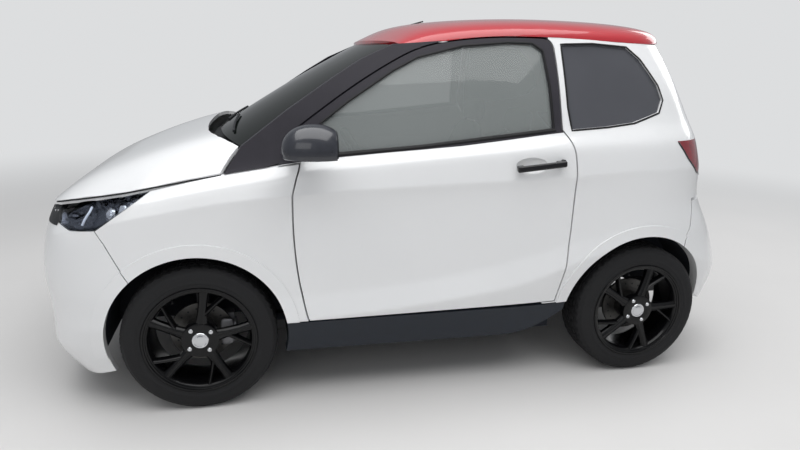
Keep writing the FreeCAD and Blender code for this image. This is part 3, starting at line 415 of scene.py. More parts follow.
def hub_frame(end, side, right):
    """Frame at a wheel's middle: x as given, y up and z outward."""
    out = Vector((0, SIDES[side], 0))
    m = Matrix((right, Vector((0, 0, 1)), out)).transposed().to_4x4()
    m.translation = Vector((AXLES[end], SIDES[side] * TRACK, HUB_Z))
    return m


def wheel(end, side):
    turn = WHEEL_TURN[end]
    place = hub_frame(end, side, Vector((-SIDES[side], 0, 0)))
    tag = "%s_%s" % (end, side)
    body = "wheel_" + tag
    disc = Mesh()
    disc.lathe(DISC, 72)
    disc.lathe(BELL, 48)
    cap = Mesh()
    cap.lathe(CAP, 48)
    bolts = ring_of(BOLTS, BOLT_CIRCLE, 45 + turn, BOLT)
    # The dark dots are painted shade in place of the disc's drilled holes
    hole_shade_dots = ring_of(DISC_HOLES, HOLE_CIRCLE, 0, HOLE_SHADE_DOT, 10)
    valve = Mesh()
    valve.tube(VALVE, VALVE_RADIUS, steps=10)
    valve.place(Matrix.Rotation(math.radians(VALVE_TURN + turn), 4, "Z"))
    for name, shape, look, slot, smooth, replaced in (
            ("tyre_shape_", tyre_mesh(), rubber, "tyre", 35, ["tyre_" + tag]),
            ("rim_shape_", rim_mesh(turn), wheel_paint, "black_gloss", 28, ["rim_" + tag]),
            ("wheel_bolts_", bolts, chrome, "steel", 50, ()),
            ("wheel_cap_", cap, chrome, "steel", 30, ()),
            ("brake_disc_", disc, disc_metal, "steel", 30, ()),
            ("disc_hole_shade_", hole_shade_dots, liner_and_hole_shade, "steel", 30, ()),
            ("valve_", valve, seal_and_gap_shade, "tyre", 40, ())):
        make(name + tag, shape.place(place), look, body, smooth, replaced)


# Callipers astride the front discs, behind the axle: local x rearward, z outward
CALLIPER_BLOCKS = [
    # centre, half sizes, steps: outer bridge, back and inner housing
    ((0.094, 0, 0.014), (0.024, 0.052, 0.010), 24),
    ((0.124, 0, -0.012), (0.0065, 0.040, 0.034), 20),
    ((0.094, 0, -0.036), (0.026, 0.054, 0.016), 24),
]
PISTON = [(0.0, -0.064), (0.018, -0.064), (0.020, -0.060), (0.020, -0.046), (0.0, -0.046)]
PISTON_X = 0.094


def calliper(side):
    m = Mesh()
    for centre, half, steps in CALLIPER_BLOCKS:
        m.pad(centre, half, 5, steps)
    start = len(m.verts)
    m.lathe(PISTON, 24)
    m.place(Matrix.Translation((PISTON_X, 0, 0)), start)
    if SIDES[side] > 0:
        m.faces = [tuple(reversed(f)) for f in m.faces]
    m.place(hub_frame("front", side, Vector((1, 0, 0))))
    make("calliper_front_" + side, m, cast, "knuckle_" + side, 35)


for end in AXLES:
    for side in SIDES:
        wheel(end, side)
for side in SIDES:
    calliper(side)


# Lines laid on the body's own surfaces
BEAD_STEPS = 8
RAY_Y = 1.2


def surface(*names):
    verts = []
    faces = []
    for name in names:
        n = len(verts)
        data = nodes[name].data
        verts += [v.co.copy() for v in data.vertices]
        faces += [tuple(n + i for i in p.vertices) for p in data.polygons]
    return BVHTree.FromPolygons(verts, faces)


def grown(points, by):
    """Closed outline moved outward by a distance."""
    area = sum(p[0] * q[1] - q[0] * p[1] for p, q in zip(points, points[1:] + points[:1]))
    turn = 1 if area > 0 else -1
    out = []
    for i, p in enumerate(points):
        a = Vector(points[i - 1])
        b = Vector(p)
        c = Vector(points[(i + 1) % len(points)])
        d1 = (b - a).normalized()
        d2 = (c - b).normalized()
        n1 = Vector((d1.y, -d1.x)) * turn
        n2 = Vector((d2.y, -d2.x)) * turn
        mid = (n1 + n2).normalized()
        q = b + mid * (by / max(0.5, mid.dot(n1)))
        out.append((q.x, q.y))
    return out


def divided(points, step, closed=True):
    out = []
    n = len(points)
    for i in range(n if closed else n - 1):
        a = Vector(points[i])
        b = Vector(points[(i + 1) % n])
        count = max(1, int((b - a).length / step))
        out += [tuple(a.lerp(b, k / count)) for k in range(count)]
    if not closed:
        out.append(tuple(points[-1]))
    return out


def rounded(points, closed=True, times=2):
    """Corner cutting of an outline."""
    for _ in range(times):
        n = len(points)
        out = [] if closed else [points[0]]
        for i in range(n if closed else n - 1):
            a = Vector(points[i])
            b = Vector(points[(i + 1) % n])
            out += [tuple(a.lerp(b, 0.25)), tuple(a.lerp(b, 0.75))]
        if not closed:
            out.append(points[-1])
        points = out
    return points


def laid(tree, points, sy, lift):
    """Points (x, z) dropped on a surface from the car's side, with the surface's outward direction."""
    out = []
    for x, z in points:
        place, normal, _, _ = tree.ray_cast(Vector((x, sy * RAY_Y, z)), Vector((0, -sy, 0)))
        if place is None:
            continue
        if normal.y * sy < 0:
            normal = -normal
        out.append((place + normal * lift, normal))
    return out


def bead(m, track, wide, thick, closed):
    """Oval bead along points with directions."""
    points = [p for p, _ in track]
    verts = []
    for i, (p, normal) in enumerate(track):
        side = along_at(points, i, closed).cross(normal).normalized()
        for k in range(BEAD_STEPS):
            a = 2 * math.pi * k / BEAD_STEPS
            verts.append(p + side * (wide * math.cos(a)) + normal * (thick * math.sin(a)))
    m.add(verts, bar_faces(len(track), BEAD_STEPS, closed))


# Outlines by (x, z), as in the part's source
DOOR_GLASS = [(-0.425, 1.066), (-0.322, 1.143), (-0.153, 1.253), (-0.057, 1.303), (0.119, 1.350),
              (0.300, 1.368), (0.400, 1.368), (0.440, 1.342), (0.458, 1.207), (0.466, 1.054),
              (-0.060, 0.992), (-0.363, 0.966)]
BELT = [(-0.372, 0.958), (-0.062, 0.985), (0.476, 1.0475)]
QUARTER_GLASS = [(0.525, 1.368), (0.535, 1.134), (0.548, 1.050), (0.700, 1.062), (0.821, 1.077),
                 (0.945, 1.116), (0.972, 1.165), (0.955, 1.220), (0.880, 1.320), (0.820, 1.366),
                 (0.660, 1.374)]
HEADLAMP = [(-1.345, 0.703), (-1.300, 0.691), (-1.209, 0.701), (-1.004, 0.846), (-1.150, 0.822),
            (-1.300, 0.796), (-1.345, 0.785)]
TAIL_LAMP = [(1.024, 1.001), (1.089, 0.930), (1.160, 0.870), (1.238, 0.841)]
SEAL_GROWTH = 0.003
SEAL_STEP = 0.02
LOCK = (0.497, 0.930)
LOCK_PROFILE = [(0.0, 0.010), (0.0065, 0.010), (0.0075, 0.0085), (0.0095, 0.0085), (0.0115, 0.0065),
                (0.0120, -0.004), (0.0, -0.004)]

for side, sy in SIDES.items():
    door = "door_" + side
    panes = surface(door + "_frame", door)
    m = Mesh()
    track = laid(panes, divided(grown(DOOR_GLASS, SEAL_GROWTH), SEAL_STEP), sy, 0.0005)
    bead(m, track, 0.0045, 0.0022, True)
    make("window_seal_" + side, m, seal_and_gap_shade, door, 60)
    m = Mesh()
    bead(m, laid(panes, divided(BELT, SEAL_STEP, False), sy, 0.001), 0.0060, 0.0030, False)
    make("belt_strip_" + side, m, seal_and_gap_shade, door, 60)
    m = Mesh()
    quarter = surface("side_panels", "pillar_frame")
    track = laid(quarter, divided(grown(QUARTER_GLASS, SEAL_GROWTH), SEAL_STEP), sy, 0.0004)
    bead(m, track, 0.0040, 0.0018, True)
    make("quarter_seal_" + side, m, seal_and_gap_shade, "body", 60)
    m = Mesh()
    lock = laid(surface(door), [LOCK], sy, 0.0)[0][0]
    m.lathe(LOCK_PROFILE, 32)
    outward = Matrix(((1, 0, 0), (0, 0, sy), (0, 1, 0))).to_4x4()
    m.place(Matrix.Translation(lock) @ outward)
    make("door_lock_" + side, m, gloss, door, 40)


# Mirrors: domes with a flat back and a flat bottom, and a cap that stands a little proud above
MIRROR = Vector((-0.468, -0.828, 0.993))
MIRROR_HALF = Vector((0.110, 0.0745, 0.090))
MIRROR_BACK = -0.394
MIRROR_BOTTOM = 0.968
MIRROR_POWER = 2.15
MIRROR_ROWS = 22
MIRROR_COLS = 64
MIRROR_SHRINK = 0.985
CAP_LAYERS = (1.0, 0.975)
CAP_LOW = -4
# The glass as a share of the housing, its rim's lowest angle and the step between its points
GLASS_SHARE = 0.72
GLASS_LOW = -42
GLASS_STEP = 12
GLASS_DEPTH = 0.002
RIM_PROUD = 0.0012
RIM_RISE = 0.008
FOOT_HALF = (0.032, 0.068, 0.014)


def mirror_point(u, v, grow, sy):
    """Point of the housing at two angles in degrees, with the flats cut off."""
    u = math.radians(u)
    v = math.radians(v)
    out = signed_power(math.cos(v), MIRROR_POWER) * grow
    x = MIRROR.x + MIRROR_HALF.x * out * signed_power(math.cos(u), MIRROR_POWER)
    y = MIRROR.y + MIRROR_HALF.y * out * signed_power(math.sin(u), MIRROR_POWER)
    z = MIRROR.z + MIRROR_HALF.z * signed_power(math.sin(v), MIRROR_POWER) * grow
    return Vector((min(x, MIRROR_BACK), -sy * y, max(z, MIRROR_BOTTOM)))


def mirror_shell(sy, low, layers):
    """Dome above an angle: a closed bottom for one layer, a rim for two."""
    m = Mesh()
    for grow in layers:
        verts = [mirror_point(360 * j / MIRROR_COLS, low + (90 - low) * i / (MIRROR_ROWS - 1), grow, sy)
                 for i in range(MIRROR_ROWS) for j in range(MIRROR_COLS)]
        m.add(verts, grid_faces(MIRROR_ROWS, MIRROR_COLS, False, True))
    if len(layers) > 1:
        inner = MIRROR_ROWS * MIRROR_COLS
        for j in range(MIRROR_COLS):
            k = (j + 1) % MIRROR_COLS
            m.faces.append((j, inner + j, inner + k, k))
    else:
        m.faces.append(tuple(range(MIRROR_COLS))[::-1])
    return m


for side, sy in SIDES.items():
    door = "door_" + side
    m = mirror_shell(sy, -90, (MIRROR_SHRINK,))
    m.pad((-0.528, sy * 0.738, 0.990), FOOT_HALF, 4, 28)
    make("mirror_shape_" + side, m, mirror_paint, door, 40, ["mirror_" + side])
    cap = mirror_shell(sy, CAP_LOW, CAP_LAYERS)
    make("mirror_cap_" + side, cap, mirror_paint, door, 40)
    m = Mesh()
    rim = [(90, v) for v in range(GLASS_LOW, 90, GLASS_STEP)]
    rim += [(-90, v) for v in range(90, GLASS_LOW - 1, -GLASS_STEP)]
    ring = []
    for u, v in rim:
        p = mirror_point(u, v, GLASS_SHARE, sy)
        ring.append(Vector((MIRROR_BACK + RIM_PROUD, p.y, max(p.z, MIRROR_BOTTOM + RIM_RISE))))
    m.tube(ring, 0.0030, 0.0022, 8, True, (1, 0, 0))
    make("mirror_rim_" + side, m, plastic, door, 50)
    m = Mesh()
    deep = [p - Vector((GLASS_DEPTH, 0, 0)) for p in ring]
    m.add(ring + deep, grid_faces(2, len(ring), False, True)
          + [tuple(range(len(ring))), tuple(range(len(ring), 2 * len(ring)))[::-1]])
    make("mirror_glass_" + side, m, mirror_face, door, 30)


# Headlamps: dark bowls behind the lenses, each with a light guide, a projector and reflector cells
LENS_Y = 0.62
LAMP_CENTRE = Vector((-1.190, 0.765))
BOWL_INSET = -0.003
BOWL_STEP = 0.012
# Rings of the bowl: share of the outline, depth behind the lens
BOWL_RINGS = [(1.0, 0.0050), (0.95, 0.016), (0.84, 0.026), (0.55, 0.033), (0.2, 0.036)]
GUIDE = [(-1.318, 0.782), (-1.270, 0.790), (-1.225, 0.796), (-1.232, 0.770), (-1.252, 0.738),
         (-1.262, 0.716)]
GUIDE_DEPTH = 0.014
PROJECTOR = (-1.168, 0.762)
PROJECTOR_DEPTH = 0.022
PROJECTOR_PROFILE = [(0.0, 0.010), (0.010, 0.0085), (0.018, 0.004), (0.022, -0.001), (0.024, 0.001),
                     (0.0265, 0.0), (0.0265, -0.010), (0.0, -0.010)]
# Reflector cells: x, z, size
CELLS = [(-1.118, 0.780, 1.3), (-1.088, 0.798, 0.9), (-1.064, 0.814, 0.7)]
CELL_DEPTH = 0.020


def at_depth(tree, x, z, sy, depth):
    """Point behind a lens, seen from the car's side, and the lens's outward direction there."""
    place, normal, _, _ = tree.ray_cast(Vector((x, sy * RAY_Y, z)), Vector((0, -sy, 0)))
    if place is None:
        place, normal, _, _ = tree.find_nearest(Vector((x, sy * LENS_Y, z)))
    normal = normal if normal.dot(Vector((-0.5, sy, 0.2))) > 0 else -normal
    return place - normal * depth, normal


def lamp_bowl(tree, sy):
    """Dish whose rim follows the lens and whose floor lies deeper towards the middle."""
    outline = divided(grown(HEADLAMP, BOWL_INSET), BOWL_STEP)
    verts = []
    for share, depth in BOWL_RINGS:
        for p in outline:
            q = LAMP_CENTRE.lerp(Vector(p), share)
            verts.append(at_depth(tree, q.x, q.y, sy, depth)[0])
    cols = len(outline)
    faces = grid_faces(len(BOWL_RINGS), cols, False, True)
    faces.append(tuple((len(BOWL_RINGS) - 1) * cols + k for k in range(cols)))
    m = Mesh()
    m.add(verts, faces)
    return m


def turned_to(normal, side_axis):
    """Rotation of local z to a direction."""
    return normal.to_track_quat("Z", side_axis).to_matrix().to_4x4()


lenses = surface("headlamp_lenses")
tail_faces = surface("tail_lamps", "side_panels")
for side, sy in SIDES.items():
    # Only the left bowl names the node: the node holds both lamps
    replaced = ["headlamps"] if side == "left" else ()
    bowl = lamp_bowl(lenses, sy)
    make("lamp_bowl_" + side, bowl, dark_chrome, "body", 40, replaced)
    m = Mesh()
    bead(m, laid(lenses, rounded(GUIDE, False, 2), sy, -GUIDE_DEPTH), 0.0042, 0.0042, False)
    make("light_guide_" + side, m, glow, "body", 60)
    m = Mesh()
    place, normal = at_depth(lenses, *PROJECTOR, sy, PROJECTOR_DEPTH)
    m.lathe(PROJECTOR_PROFILE, 32)
    # The projector looks halfway between straight ahead and the lens's own direction
    aim = Vector((-1, 0, 0)).lerp(normal, 0.5).normalized()
    m.place(Matrix.Translation(place) @ turned_to(aim, "Y"))
    make("lamp_projector_" + side, m, chrome, "body", 40)
    m = Mesh()
    for x, z, size in CELLS:
        place, normal = at_depth(lenses, x, z, sy, CELL_DEPTH)
        start = len(m.verts)
        m.pad((0, 0, 0), (0.013 * size, 0.009 * size, 0.004), 6, 20)
        m.place(Matrix.Translation(place) @ turned_to(normal, "X"), start)
    make("lamp_cells_" + side, m, chrome, "body", 40)
    m = Mesh()
    bead(m, laid(tail_faces, divided(TAIL_LAMP, 0.012, False), sy, 0.0006), 0.0045, 0.0016, False)
    make("tail_lamp_edge_" + side, m, gloss, "body", 60)

# Black band between the headlamps, under the bonnet's lip and over the bumper's upper edge
nose = surface("front_bumper")
BAND_HALF = 0.630
BAND_COLUMNS = 42
BAND_ROWS = 6
# Its top is searched for downward between two heights; its lower edge rises to the sides
BAND_HIGHEST = 0.800
BAND_LOWEST = 0.690
BAND_LOW = 0.664
BAND_RISE = 0.036
BAND_LEAST = 0.008
BAND_FACES = (0.0014, -0.0010)
BAND_STEP = 0.0004
NOSE_BACK = -1.25
BAND_FLANGE = (0.0015, 0.004, 0.009, 0.016)


def nose_hit(y, z, lift):
    """Point on the bumper's front face, or None above its edge."""
    place, normal, _, _ = nose.ray_cast(Vector((-2.0, y, z)), Vector((1, 0, 0)))
    if place is None or place.x > NOSE_BACK:
        return None
    normal = normal if normal.x < 0 else -normal
    return place + normal * lift


def flange_hit(edge, reach, lift):
    """Point just above the bumper's upper face, behind its front edge."""
    place, _, _, _ = nose.ray_cast(edge + Vector((reach, 0, 0.03)), Vector((0, 0, -1)))
    height = edge.z + 2 * BAND_STEP
    if place is not None:
        height = max(height, place.z)
    return Vector((edge.x + reach, edge.y, height + lift))


band = Mesh()
columns = []
for k in range(-BAND_COLUMNS, BAND_COLUMNS + 1):
    y = BAND_HALF * k / BAND_COLUMNS
    top = BAND_HIGHEST
    while nose_hit(y, top, 0) is None and top > BAND_LOWEST:
        top -= BAND_STEP
    low = BAND_LOW + BAND_RISE * (y / BAND_HALF) ** 2
    column = [(y, low + (top - BAND_STEP - low) * i / (BAND_ROWS - 1)) for i in range(BAND_ROWS)]
    if top - low > BAND_LEAST and all(nose_hit(y, z, 0) for y, z in column):
        columns.append(column)
for lift in BAND_FACES:
    verts = []
    for column in columns:
        verts += [nose_hit(y, z, lift) for y, z in column]
        verts += [flange_hit(verts[-1], reach, lift) for reach in BAND_FLANGE]
    band.add(verts, grid_faces(len(columns), BAND_ROWS + len(BAND_FLANGE)))
make("nose_band", band, plastic, "body", 50)

# Painted shade: a dark line in the gap under each edge of the bonnet, a tube that stands in for the shadow
# in the shut line
GAP_LINE = [(-1.360, 0.7705), (-1.300, 0.7870), (-1.200, 0.8075), (-1.100, 0.8255), (-0.990, 0.8490),
            (-0.880, 0.8705), (-0.780, 0.8885)]
NOSE_REACH = 0.780
NOSE_START = -0.700
# Half width where the nose starts to narrow, what it gains forward, and the curve's power
NOSE_HALF = 0.676
NOSE_SPREAD = 0.018
NOSE_POWER = 3.2
GAP_INSET = 0.006
GAP_DROP = 0.001
for side, sy in SIDES.items():
    m = Mesh()
    points = []
    for x, z in divided(GAP_LINE, 0.02, False):
        t = (NOSE_START - x) / NOSE_REACH
        half = (NOSE_HALF + NOSE_SPREAD * t) * (1 - max(0.0, t) ** NOSE_POWER) ** (1 / NOSE_POWER)
        points.append((x, sy * (half - GAP_INSET), z - GAP_DROP))
    m.tube(points, 0.0045, 0.0030, 8)
    # The dark tube is painted shade in the bonnet's shut line
    make("bonnet_gap_shade_" + side, m, seal_and_gap_shade, "body", 60)

# Cabin: seats with padded cushions, steering wheel, dashboard details
SEAT_Y = 0.290
COLUMN = Vector((-0.215, -0.290, 0.850))
COLUMN_TILT = 62.0
PAD_VOXEL = 0.008
PAD_PRESSURE = 4.0
PAD_FRAMES = 15
PAD_SWELL = 0.006


def padded_mesh(name, half, power, steps, shape):
    m = Mesh()
    m.pad((0, 0, 0), half, power, steps)
    for v in m.verts:
        shape(v)
    obj = new_object(name, m)
    remesh = obj.modifiers.new("remesh", "REMESH")
    remesh.mode = "VOXEL"
    remesh.voxel_size = PAD_VOXEL
    bake_modifiers(obj)
    start = [v.co.copy() for v in obj.data.vertices]
    settings = obj.modifiers.new("cloth", "CLOTH").settings
    settings.use_pressure = True
    settings.uniform_pressure_force = PAD_PRESSURE
    settings.effector_weights.gravity = 0.0
    for frame_number in range(1, PAD_FRAMES + 1):
        bpy.context.scene.frame_set(frame_number)
    bake_modifiers(obj)
    bpy.context.scene.frame_set(1)
    for v, p in zip(obj.data.vertices, start):
        move = v.co - p
        v.co = p + move * min(1.0, PAD_SWELL / max(1e-6, move.length))
    out = Mesh()
    out.add([v.co.copy() for v in obj.data.vertices], [tuple(p.vertices) for p in obj.data.polygons])
    bpy.data.objects.remove(obj)
    return out


def bake_modifiers(obj):
    bpy.context.view_layer.update()
    done = obj.evaluated_get(bpy.context.evaluated_depsgraph_get())
    mesh = bpy.data.meshes.new_from_object(done)
    obj.modifiers.clear()
    obj.data = mesh


# Seat forms: bolsters rise from a share of the half width, the dish sinks inside one
CUSHION_HALF = (0.212, 0.200, 0.048)
CUSHION_SIDE = 0.205
CUSHION_BOLSTER = 0.016
CUSHION_DISH = 0.008
FRONT_DROP = 0.014
BACK_HALF = (0.245, 0.190, 0.036)
BACK_SIDE = 0.195
BACK_WING = 0.018
SHOULDER_TAPER = 0.16
HEADREST_HALF = (0.055, 0.118, 0.030)


def cushion_shape(v):
    """Raised side bolsters, a dished middle and a rounded front edge."""
    side = abs(v.y) / CUSHION_SIDE
    if v.z > 0:
        v.z += CUSHION_BOLSTER * max(0.0, side - 0.62) / 0.38 - CUSHION_DISH * max(0.0, 1 - side / 0.6)
        v.z -= FRONT_DROP * max(0.0, (-v.x - 0.15) / 0.07)


def back_shape(v):
    """Wings at the sides and shoulders that narrow upwards."""
    side = abs(v.y) / BACK_SIDE
    if v.z > 0:
        v.z += BACK_WING * max(0.0, side - 0.60) / 0.40
    v.y *= 1 - SHOULDER_TAPER * max(0.0, (v.x - 0.05) / 0.20)


def copied(shape, matrix):
    m = Mesh()
    m.add([matrix @ v for v in shape.verts], shape.faces)
    return m


def frame_at(origin, x_axis, z_axis):
    """Local x along the pad and local z out of its face."""
    x = Vector(x_axis).normalized()
    z = Vector(z_axis).normalized()
    y = z.cross(x)
    z = x.cross(y)
    m = Matrix((x, y, z)).transposed().to_4x4()
    m.translation = Vector(origin)
    return m


cushion = padded_mesh("cushion", CUSHION_HALF, 4.5, 48, cushion_shape)
backrest = padded_mesh("backrest", BACK_HALF, 4.5, 48, back_shape)
headrest = padded_mesh("headrest", HEADREST_HALF, 3.6, 40, lambda v: None)

POST_Y = 0.062
POST_LINE = [(0.452, 0.965), (0.466, 0.990), (0.476, 1.015)]
POST_RADIUS = 0.006
PIPING_Y = 0.118
PIPING_RADIUS = 0.0028
BACK_PIPING = (-0.20, -0.10, 0.0, 0.10, 0.19)
CUSHION_PIPING = (-0.16, -0.05, 0.05, 0.17)
RAIL_Y = 0.12
RAIL_Z = 0.240
RAIL_ENDS = (-0.02, 0.38)

for side, sy in SIDES.items():
    y = sy * SEAT_Y
    at_cushion = frame_at((0.158, y, 0.394), (0.99, 0, -0.08), (0.08, 0, 0.99))
    at_back = frame_at((0.414, y, 0.752), (0.235, 0, 0.95), (-0.95, 0, 0.235))
    at_head = frame_at((0.487, y, 1.046), (0.15, 0, 0.97), (-0.97, 0, 0.15))
    for part, shape, place in (("cushion", cushion, at_cushion), ("backrest", backrest, at_back),
                               ("headrest", headrest, at_head)):
        pad = copied(shape, place)
        obj = make("seat_%s_%s" % (part, side), pad, cloth, "body", 0,
                   ["seats"] if part == "cushion" and side == "left" else (), 1)
    m = Mesh()
    for across in (-POST_Y, POST_Y):
        m.tube([(x, y + across, z) for x, z in POST_LINE], POST_RADIUS, steps=12)
    make("headrest_posts_" + side, m, chrome, "body", 60)
    # Piping along both wings of the backrest and of the cushion
    m = Mesh()
    for across in (-PIPING_Y, PIPING_Y):
        m.tube([at_back @ Vector((x, across, 0.0375)) for x in BACK_PIPING], PIPING_RADIUS, steps=8)
        m.tube([at_cushion @ Vector((x, across, 0.046)) for x in CUSHION_PIPING], PIPING_RADIUS, steps=8)
    make("seat_piping_" + side, m, seal_and_gap_shade, "body", 60)
    m = Mesh()
    m.pad((0.170, y, 0.292), (0.165, 0.148, 0.058), 10, 40)
    for across in (-RAIL_Y, RAIL_Y):
        m.tube([(x, y + across, RAIL_Z) for x in RAIL_ENDS], 0.014, 0.010, 12, round_off=6)
    make("seat_base_" + side, m, plastic, "body", 35)


def circle(radius, count, height=0.0):
    return [(radius * math.cos(2 * math.pi * k / count), radius * math.sin(2 * math.pi * k / count), height)
            for k in range(count)]


# Steering wheel: local z towards the driver, x down
RING_RADIUS = 0.170
RING_STEPS = 72
SPOKE_REACH = (0.04, 0.08, 0.12, 0.165)
SPOKE_SINK = 0.012
SHAFT = [(0.0, -0.016), (0.032, -0.020), (0.034, -0.060), (0.020, -0.064), (0.020, -0.228), (0.0, -0.230)]
SHROUD = [(0.0445, -0.075), (0.0480, -0.085), (0.0480, -0.205), (0.0445, -0.215), (0.0300, -0.215),
          (0.0300, -0.075)]
STALK = [(0.0, 0.044, -0.110), (-0.004, 0.085, -0.100), (-0.008, 0.135, -0.090)]


def sunk(r, height):
    """Height of a steering wheel spoke, which falls from the ring to the hub."""
    return height - SPOKE_SINK * (1 - (r - 0.04) / 0.13)


turned_column = Matrix.Translation(COLUMN) @ Matrix.Rotation(math.radians(COLUMN_TILT), 4, "Y")
m = Mesh()
m.tube(circle(RING_RADIUS, RING_STEPS), 0.0125, 0.0138, 16, True)
for reach in (-1, 1):
    m.tube([(0, reach * r, sunk(r, -0.004)) for r in SPOKE_REACH], 0.017, 0.006, 14, round_off=4)
m.tube([(r, 0, sunk(r, -0.006)) for r in SPOKE_REACH], 0.015, 0.006, 14, round_off=4)
m.pad((0.004, 0, -0.006), (0.062, 0.072, 0.022), 3.4, 40)
m.lathe(SHAFT, 32)
m.place(turned_column)
make("steering_wheel_shape", m, plastic, "steering_wheel", 35, ["steering_wheel"])
m = Mesh()
m.tube(circle(RING_RADIUS, RING_STEPS, 0.0006), 0.0006, 0.0142, 8, True)
m.place(turned_column)
make("steering_seam", m, seal_and_gap_shade, "steering_wheel", 60)

m = Mesh()
m.lathe(SHROUD, 32)
for reach in (-1, 1):
    m.tube([(x, reach * y, z) for x, y, z in STALK], 0.0065, 0.0045, 12)
m.place(turned_column)
make("column_shroud", m, plastic, "body", 40)

# Instrument hood, displays, vents and glovebox line on the dashboard; the glovebox line is a dark tube of
# painted shade along the lid's shut line
VENT_Y = (-0.440, -0.135, 0.135, 0.440)
VENT = [(0.020, 0.000), (0.022, 0.006), (0.030, 0.008), (0.034, 0.005), (0.035, -0.006), (0.020, -0.006)]
VENT_SLATS = (-0.010, 0.0, 0.010)
GLOVEBOX_SHADE_LINE = [(-0.3545, 0.150, 0.770), (-0.3505, 0.150, 0.868), (-0.3505, 0.420, 0.868),
            (-0.3545, 0.420, 0.770)]

m = Mesh()
m.pad((-0.465, -0.290, 0.955), (0.080, 0.155, 0.034), 3.2, 40)
make("instrument_hood", m, plastic, "body", 50)
m = Mesh()
m.pad((-0.392, -0.290, 0.952), (0.006, 0.120, 0.026), 6, 32)
m.pad((-0.398, 0.0, 0.950), (0.007, 0.098, 0.060), 10, 36)
make("displays", m, screen_face, "body", 40)
m = Mesh()
for y in VENT_Y:
    start = len(m.verts)
    m.lathe(VENT, 36)
    for x in VENT_SLATS:
        m.tube([(x, -0.020, 0.002), (x, 0.020, 0.002)], 0.0012, 0.0035, 8)
    m.place(frame_at((-0.384, y, 0.912), (-0.64, 0, 0.77), (0.77, 0, 0.64)), start)
make("air_vents", m, gloss, "body", 40)
m = Mesh()
# Painted shade: the dark outline stands in for the shadow in the glovebox lid's shut line
m.tube(GLOVEBOX_SHADE_LINE, 0.0016, 0.0016, 8, True, up=(1, 0, 0))
m.pad((-0.3505, 0.285, 0.852), (0.005, 0.030, 0.006), 5, 20)
make("glovebox", m, seal_and_gap_shade, "body", 50)

# Frames of the bare plates, plate lamps, exhaust tip and reflectors
PLATE_HALF = 0.230
PLATE_LAMP_Y = 0.10
PLATE_LAMP_HALF = (0.016, 0.030, 0.008)
TIP = [(0.0205, -0.10), (0.0225, -0.098), (0.0235, 0.0), (0.0240, 0.004), (0.0215, 0.0045), (0.0195, 0.0),
       (0.0190, -0.07)]
TIP_Y = 0.120
TIP_Z = 0.165
REFLECTOR_Y = 0.42
REFLECTOR_Z = 0.415


def surround(x, facing, z0, z1):
    """Frame of a plate that faces forward (-1) or back (1)."""
    corners = [(x, -PLATE_HALF, z0), (x, PLATE_HALF, z0), (x, PLATE_HALF, z1), (x, -PLATE_HALF, z1)]
    m = Mesh()
    m.tube(corners, 0.0050, 0.0060, 10, True, (facing, 0, 0), 5)
    return m


low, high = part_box("front_plate")
m = surround(low.x + 0.004, -1, low.z, high.z)
make("front_plate_frame", m, plastic, "body", 40)
low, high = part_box("rear_plate")
m = surround(high.x - 0.006, 1, low.z, high.z)
for y in (-PLATE_LAMP_Y, PLATE_LAMP_Y):
    m.pad((high.x - 0.012, y, high.z + 0.020), PLATE_LAMP_HALF, 4, 24)
make("rear_plate_frame", m, plastic, "tailgate", 40)

low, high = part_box("exhaust")
m = Mesh()
m.lathe(TIP, 40)
m.place(frame_at((high.x - 0.002, TIP_Y, TIP_Z), (0, 0, 1), (1, 0, 0)))
make("exhaust_tip", m, chrome, "body", 40)


def rear_hit(y, z):
    place, normal, _, _ = surface("rear_bumper").ray_cast(Vector((2.0, y, z)), Vector((-1, 0, 0)))
    return place, (normal if normal.x > 0 else -normal)


m = Mesh()
for y in (-REFLECTOR_Y, REFLECTOR_Y):
    place, normal = rear_hit(y, REFLECTOR_Z)
    start = len(m.verts)
    m.pad((0, 0, 0), (0.048, 0.013, 0.004), 6, 28)
    m.place(frame_at(place - normal * 0.0030, Vector((0, 1, 0)) - normal * normal.y, normal), start)
make("rear_reflectors", m, reflector, "body", 40)

# Floor, light and camera
FLOOR_HALF = 30
FADE_START = 2.5
FADE_END = 7.0
BACKDROP = (0.80, 0.81, 0.82, 1)
BACKDROP_LIGHT = 0.9
SKY = (0.90, 0.93, 0.97, 1)
SKY_LIGHT = 0.42

floor = Mesh()
floor.add([(x * FLOOR_HALF, y * FLOOR_HALF, 0) for x, y in ((-1, -1), (1, -1), (1, 1), (-1, 1))],
          [(0, 1, 2, 3)])
ground = new_object("floor", floor)
floor_look = vary(shader("floor_pale", (0.66, 0.65, 0.64), 0.8), 1.2, 0.015)
ground.data.materials.append(floor_look)


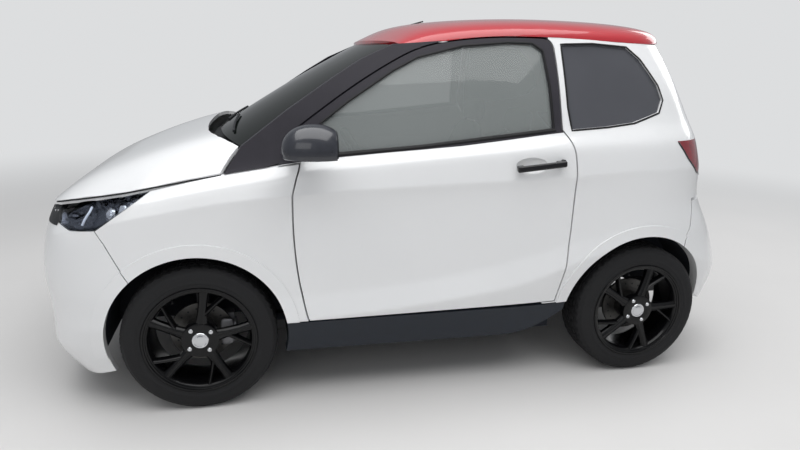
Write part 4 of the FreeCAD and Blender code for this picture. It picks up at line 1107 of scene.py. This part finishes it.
def fade_to_backdrop(m, near, far):
    """The far floor takes the backdrop's colour, so that no horizon shows."""
    t = m.node_tree
    place = t.nodes.new("ShaderNodeTexCoord")
    reach = t.nodes.new("ShaderNodeVectorMath")
    reach.operation = "LENGTH"
    t.links.new(place.outputs["Object"], reach.inputs[0])
    share = t.nodes.new("ShaderNodeMapRange")
    share.interpolation_type = "SMOOTHSTEP"
    share.inputs["From Min"].default_value = near
    share.inputs["From Max"].default_value = far
    t.links.new(reach.outputs["Value"], share.inputs["Value"])
    seen = t.nodes.new("ShaderNodeLightPath")
    both_ways = t.nodes.new("ShaderNodeMath")
    both_ways.operation = "MULTIPLY"
    t.links.new(share.outputs["Result"], both_ways.inputs[0])
    t.links.new(seen.outputs["Is Camera Ray"], both_ways.inputs[1])
    far_light = t.nodes.new("ShaderNodeEmission")
    far_light.inputs["Color"].default_value = BACKDROP
    far_light.inputs["Strength"].default_value = BACKDROP_LIGHT
    mix = t.nodes.new("ShaderNodeMixShader")
    t.links.new(both_ways.outputs["Value"], mix.inputs["Fac"])
    t.links.new(t.nodes["Principled BSDF"].outputs["BSDF"], mix.inputs[1])
    t.links.new(far_light.outputs["Emission"], mix.inputs[2])
    t.links.new(mix.outputs["Shader"], t.nodes["Material Output"].inputs["Surface"])


fade_to_backdrop(floor_look, FADE_START, FADE_END)


def area(name, place, target, size, power):
    light = bpy.data.lights.new(name, "AREA")
    light.shape = "RECTANGLE"
    light.size, light.size_y = size
    light.energy = power
    obj = bpy.data.objects.new(name, light)
    bpy.context.scene.collection.objects.link(obj)
    obj.location = place
    obj.rotation_mode = "QUATERNION"
    obj.rotation_quaternion = (Vector(target) - Vector(place)).to_track_quat("-Z", "Y")


area("sky_panel", (-0.3, -1.2, 4.6), (0, 0, 0.6), (6.0, 5.0), 235)
area("side_panel", (-2.6, -5.2, 2.6), (0, 0, 0.7), (4.0, 2.0), 26)
area("rear_panel", (4.5, 1.5, 2.8), (0.3, 0, 0.8), (3.0, 2.0), 45)

# The world lights the car as a sky, and is seen as the backdrop
world = bpy.data.worlds.new("studio")
bpy.context.scene.world = world
world.use_nodes = True
tree = world.node_tree
back = tree.nodes["Background"]
back.inputs["Color"].default_value = SKY
back.inputs["Strength"].default_value = SKY_LIGHT
pale = tree.nodes.new("ShaderNodeBackground")
pale.inputs["Color"].default_value = BACKDROP
pale.inputs["Strength"].default_value = BACKDROP_LIGHT
path = tree.nodes.new("ShaderNodeLightPath")
most = tree.nodes.new("ShaderNodeMath")
most.operation = "MAXIMUM"
tree.links.new(path.outputs["Is Camera Ray"], most.inputs[0])
tree.links.new(path.outputs["Is Transmission Ray"], most.inputs[1])
both = tree.nodes.new("ShaderNodeMixShader")
tree.links.new(most.outputs["Value"], both.inputs["Fac"])
tree.links.new(back.outputs["Background"], both.inputs[1])
tree.links.new(pale.outputs["Background"], both.inputs[2])
tree.links.new(both.outputs["Shader"], tree.nodes["World Output"].inputs["Surface"])

bpy.context.scene.view_settings.view_transform = "Standard"

# Camera: place, then yaw, pitch and roll in degrees, fitted to both wheels in the photo
EYE = (-0.6498, -2.9113, 1.3069)
YAW, PITCH, ROLL = -13.112, -15.192, -1.625
LENS_MM = 27.9
SENSOR_MM = 36.0
camera_data = bpy.data.cameras.new("camera")
camera_data.lens = LENS_MM
camera_data.sensor_width = SENSOR_MM
camera = bpy.data.objects.new("camera", camera_data)
bpy.context.scene.collection.objects.link(camera)
turn = (Matrix.Rotation(math.radians(YAW), 3, "Z") @ Matrix.Rotation(math.radians(PITCH), 3, "X")
        @ Matrix.Rotation(math.radians(ROLL), 3, "Y"))
right, forward, up = turn.col[0], turn.col[1], turn.col[2]
pose = Matrix((right, up, -forward)).transposed().to_4x4()
pose.translation = Vector(EYE)
camera.matrix_world = pose
bpy.context.scene.camera = camera
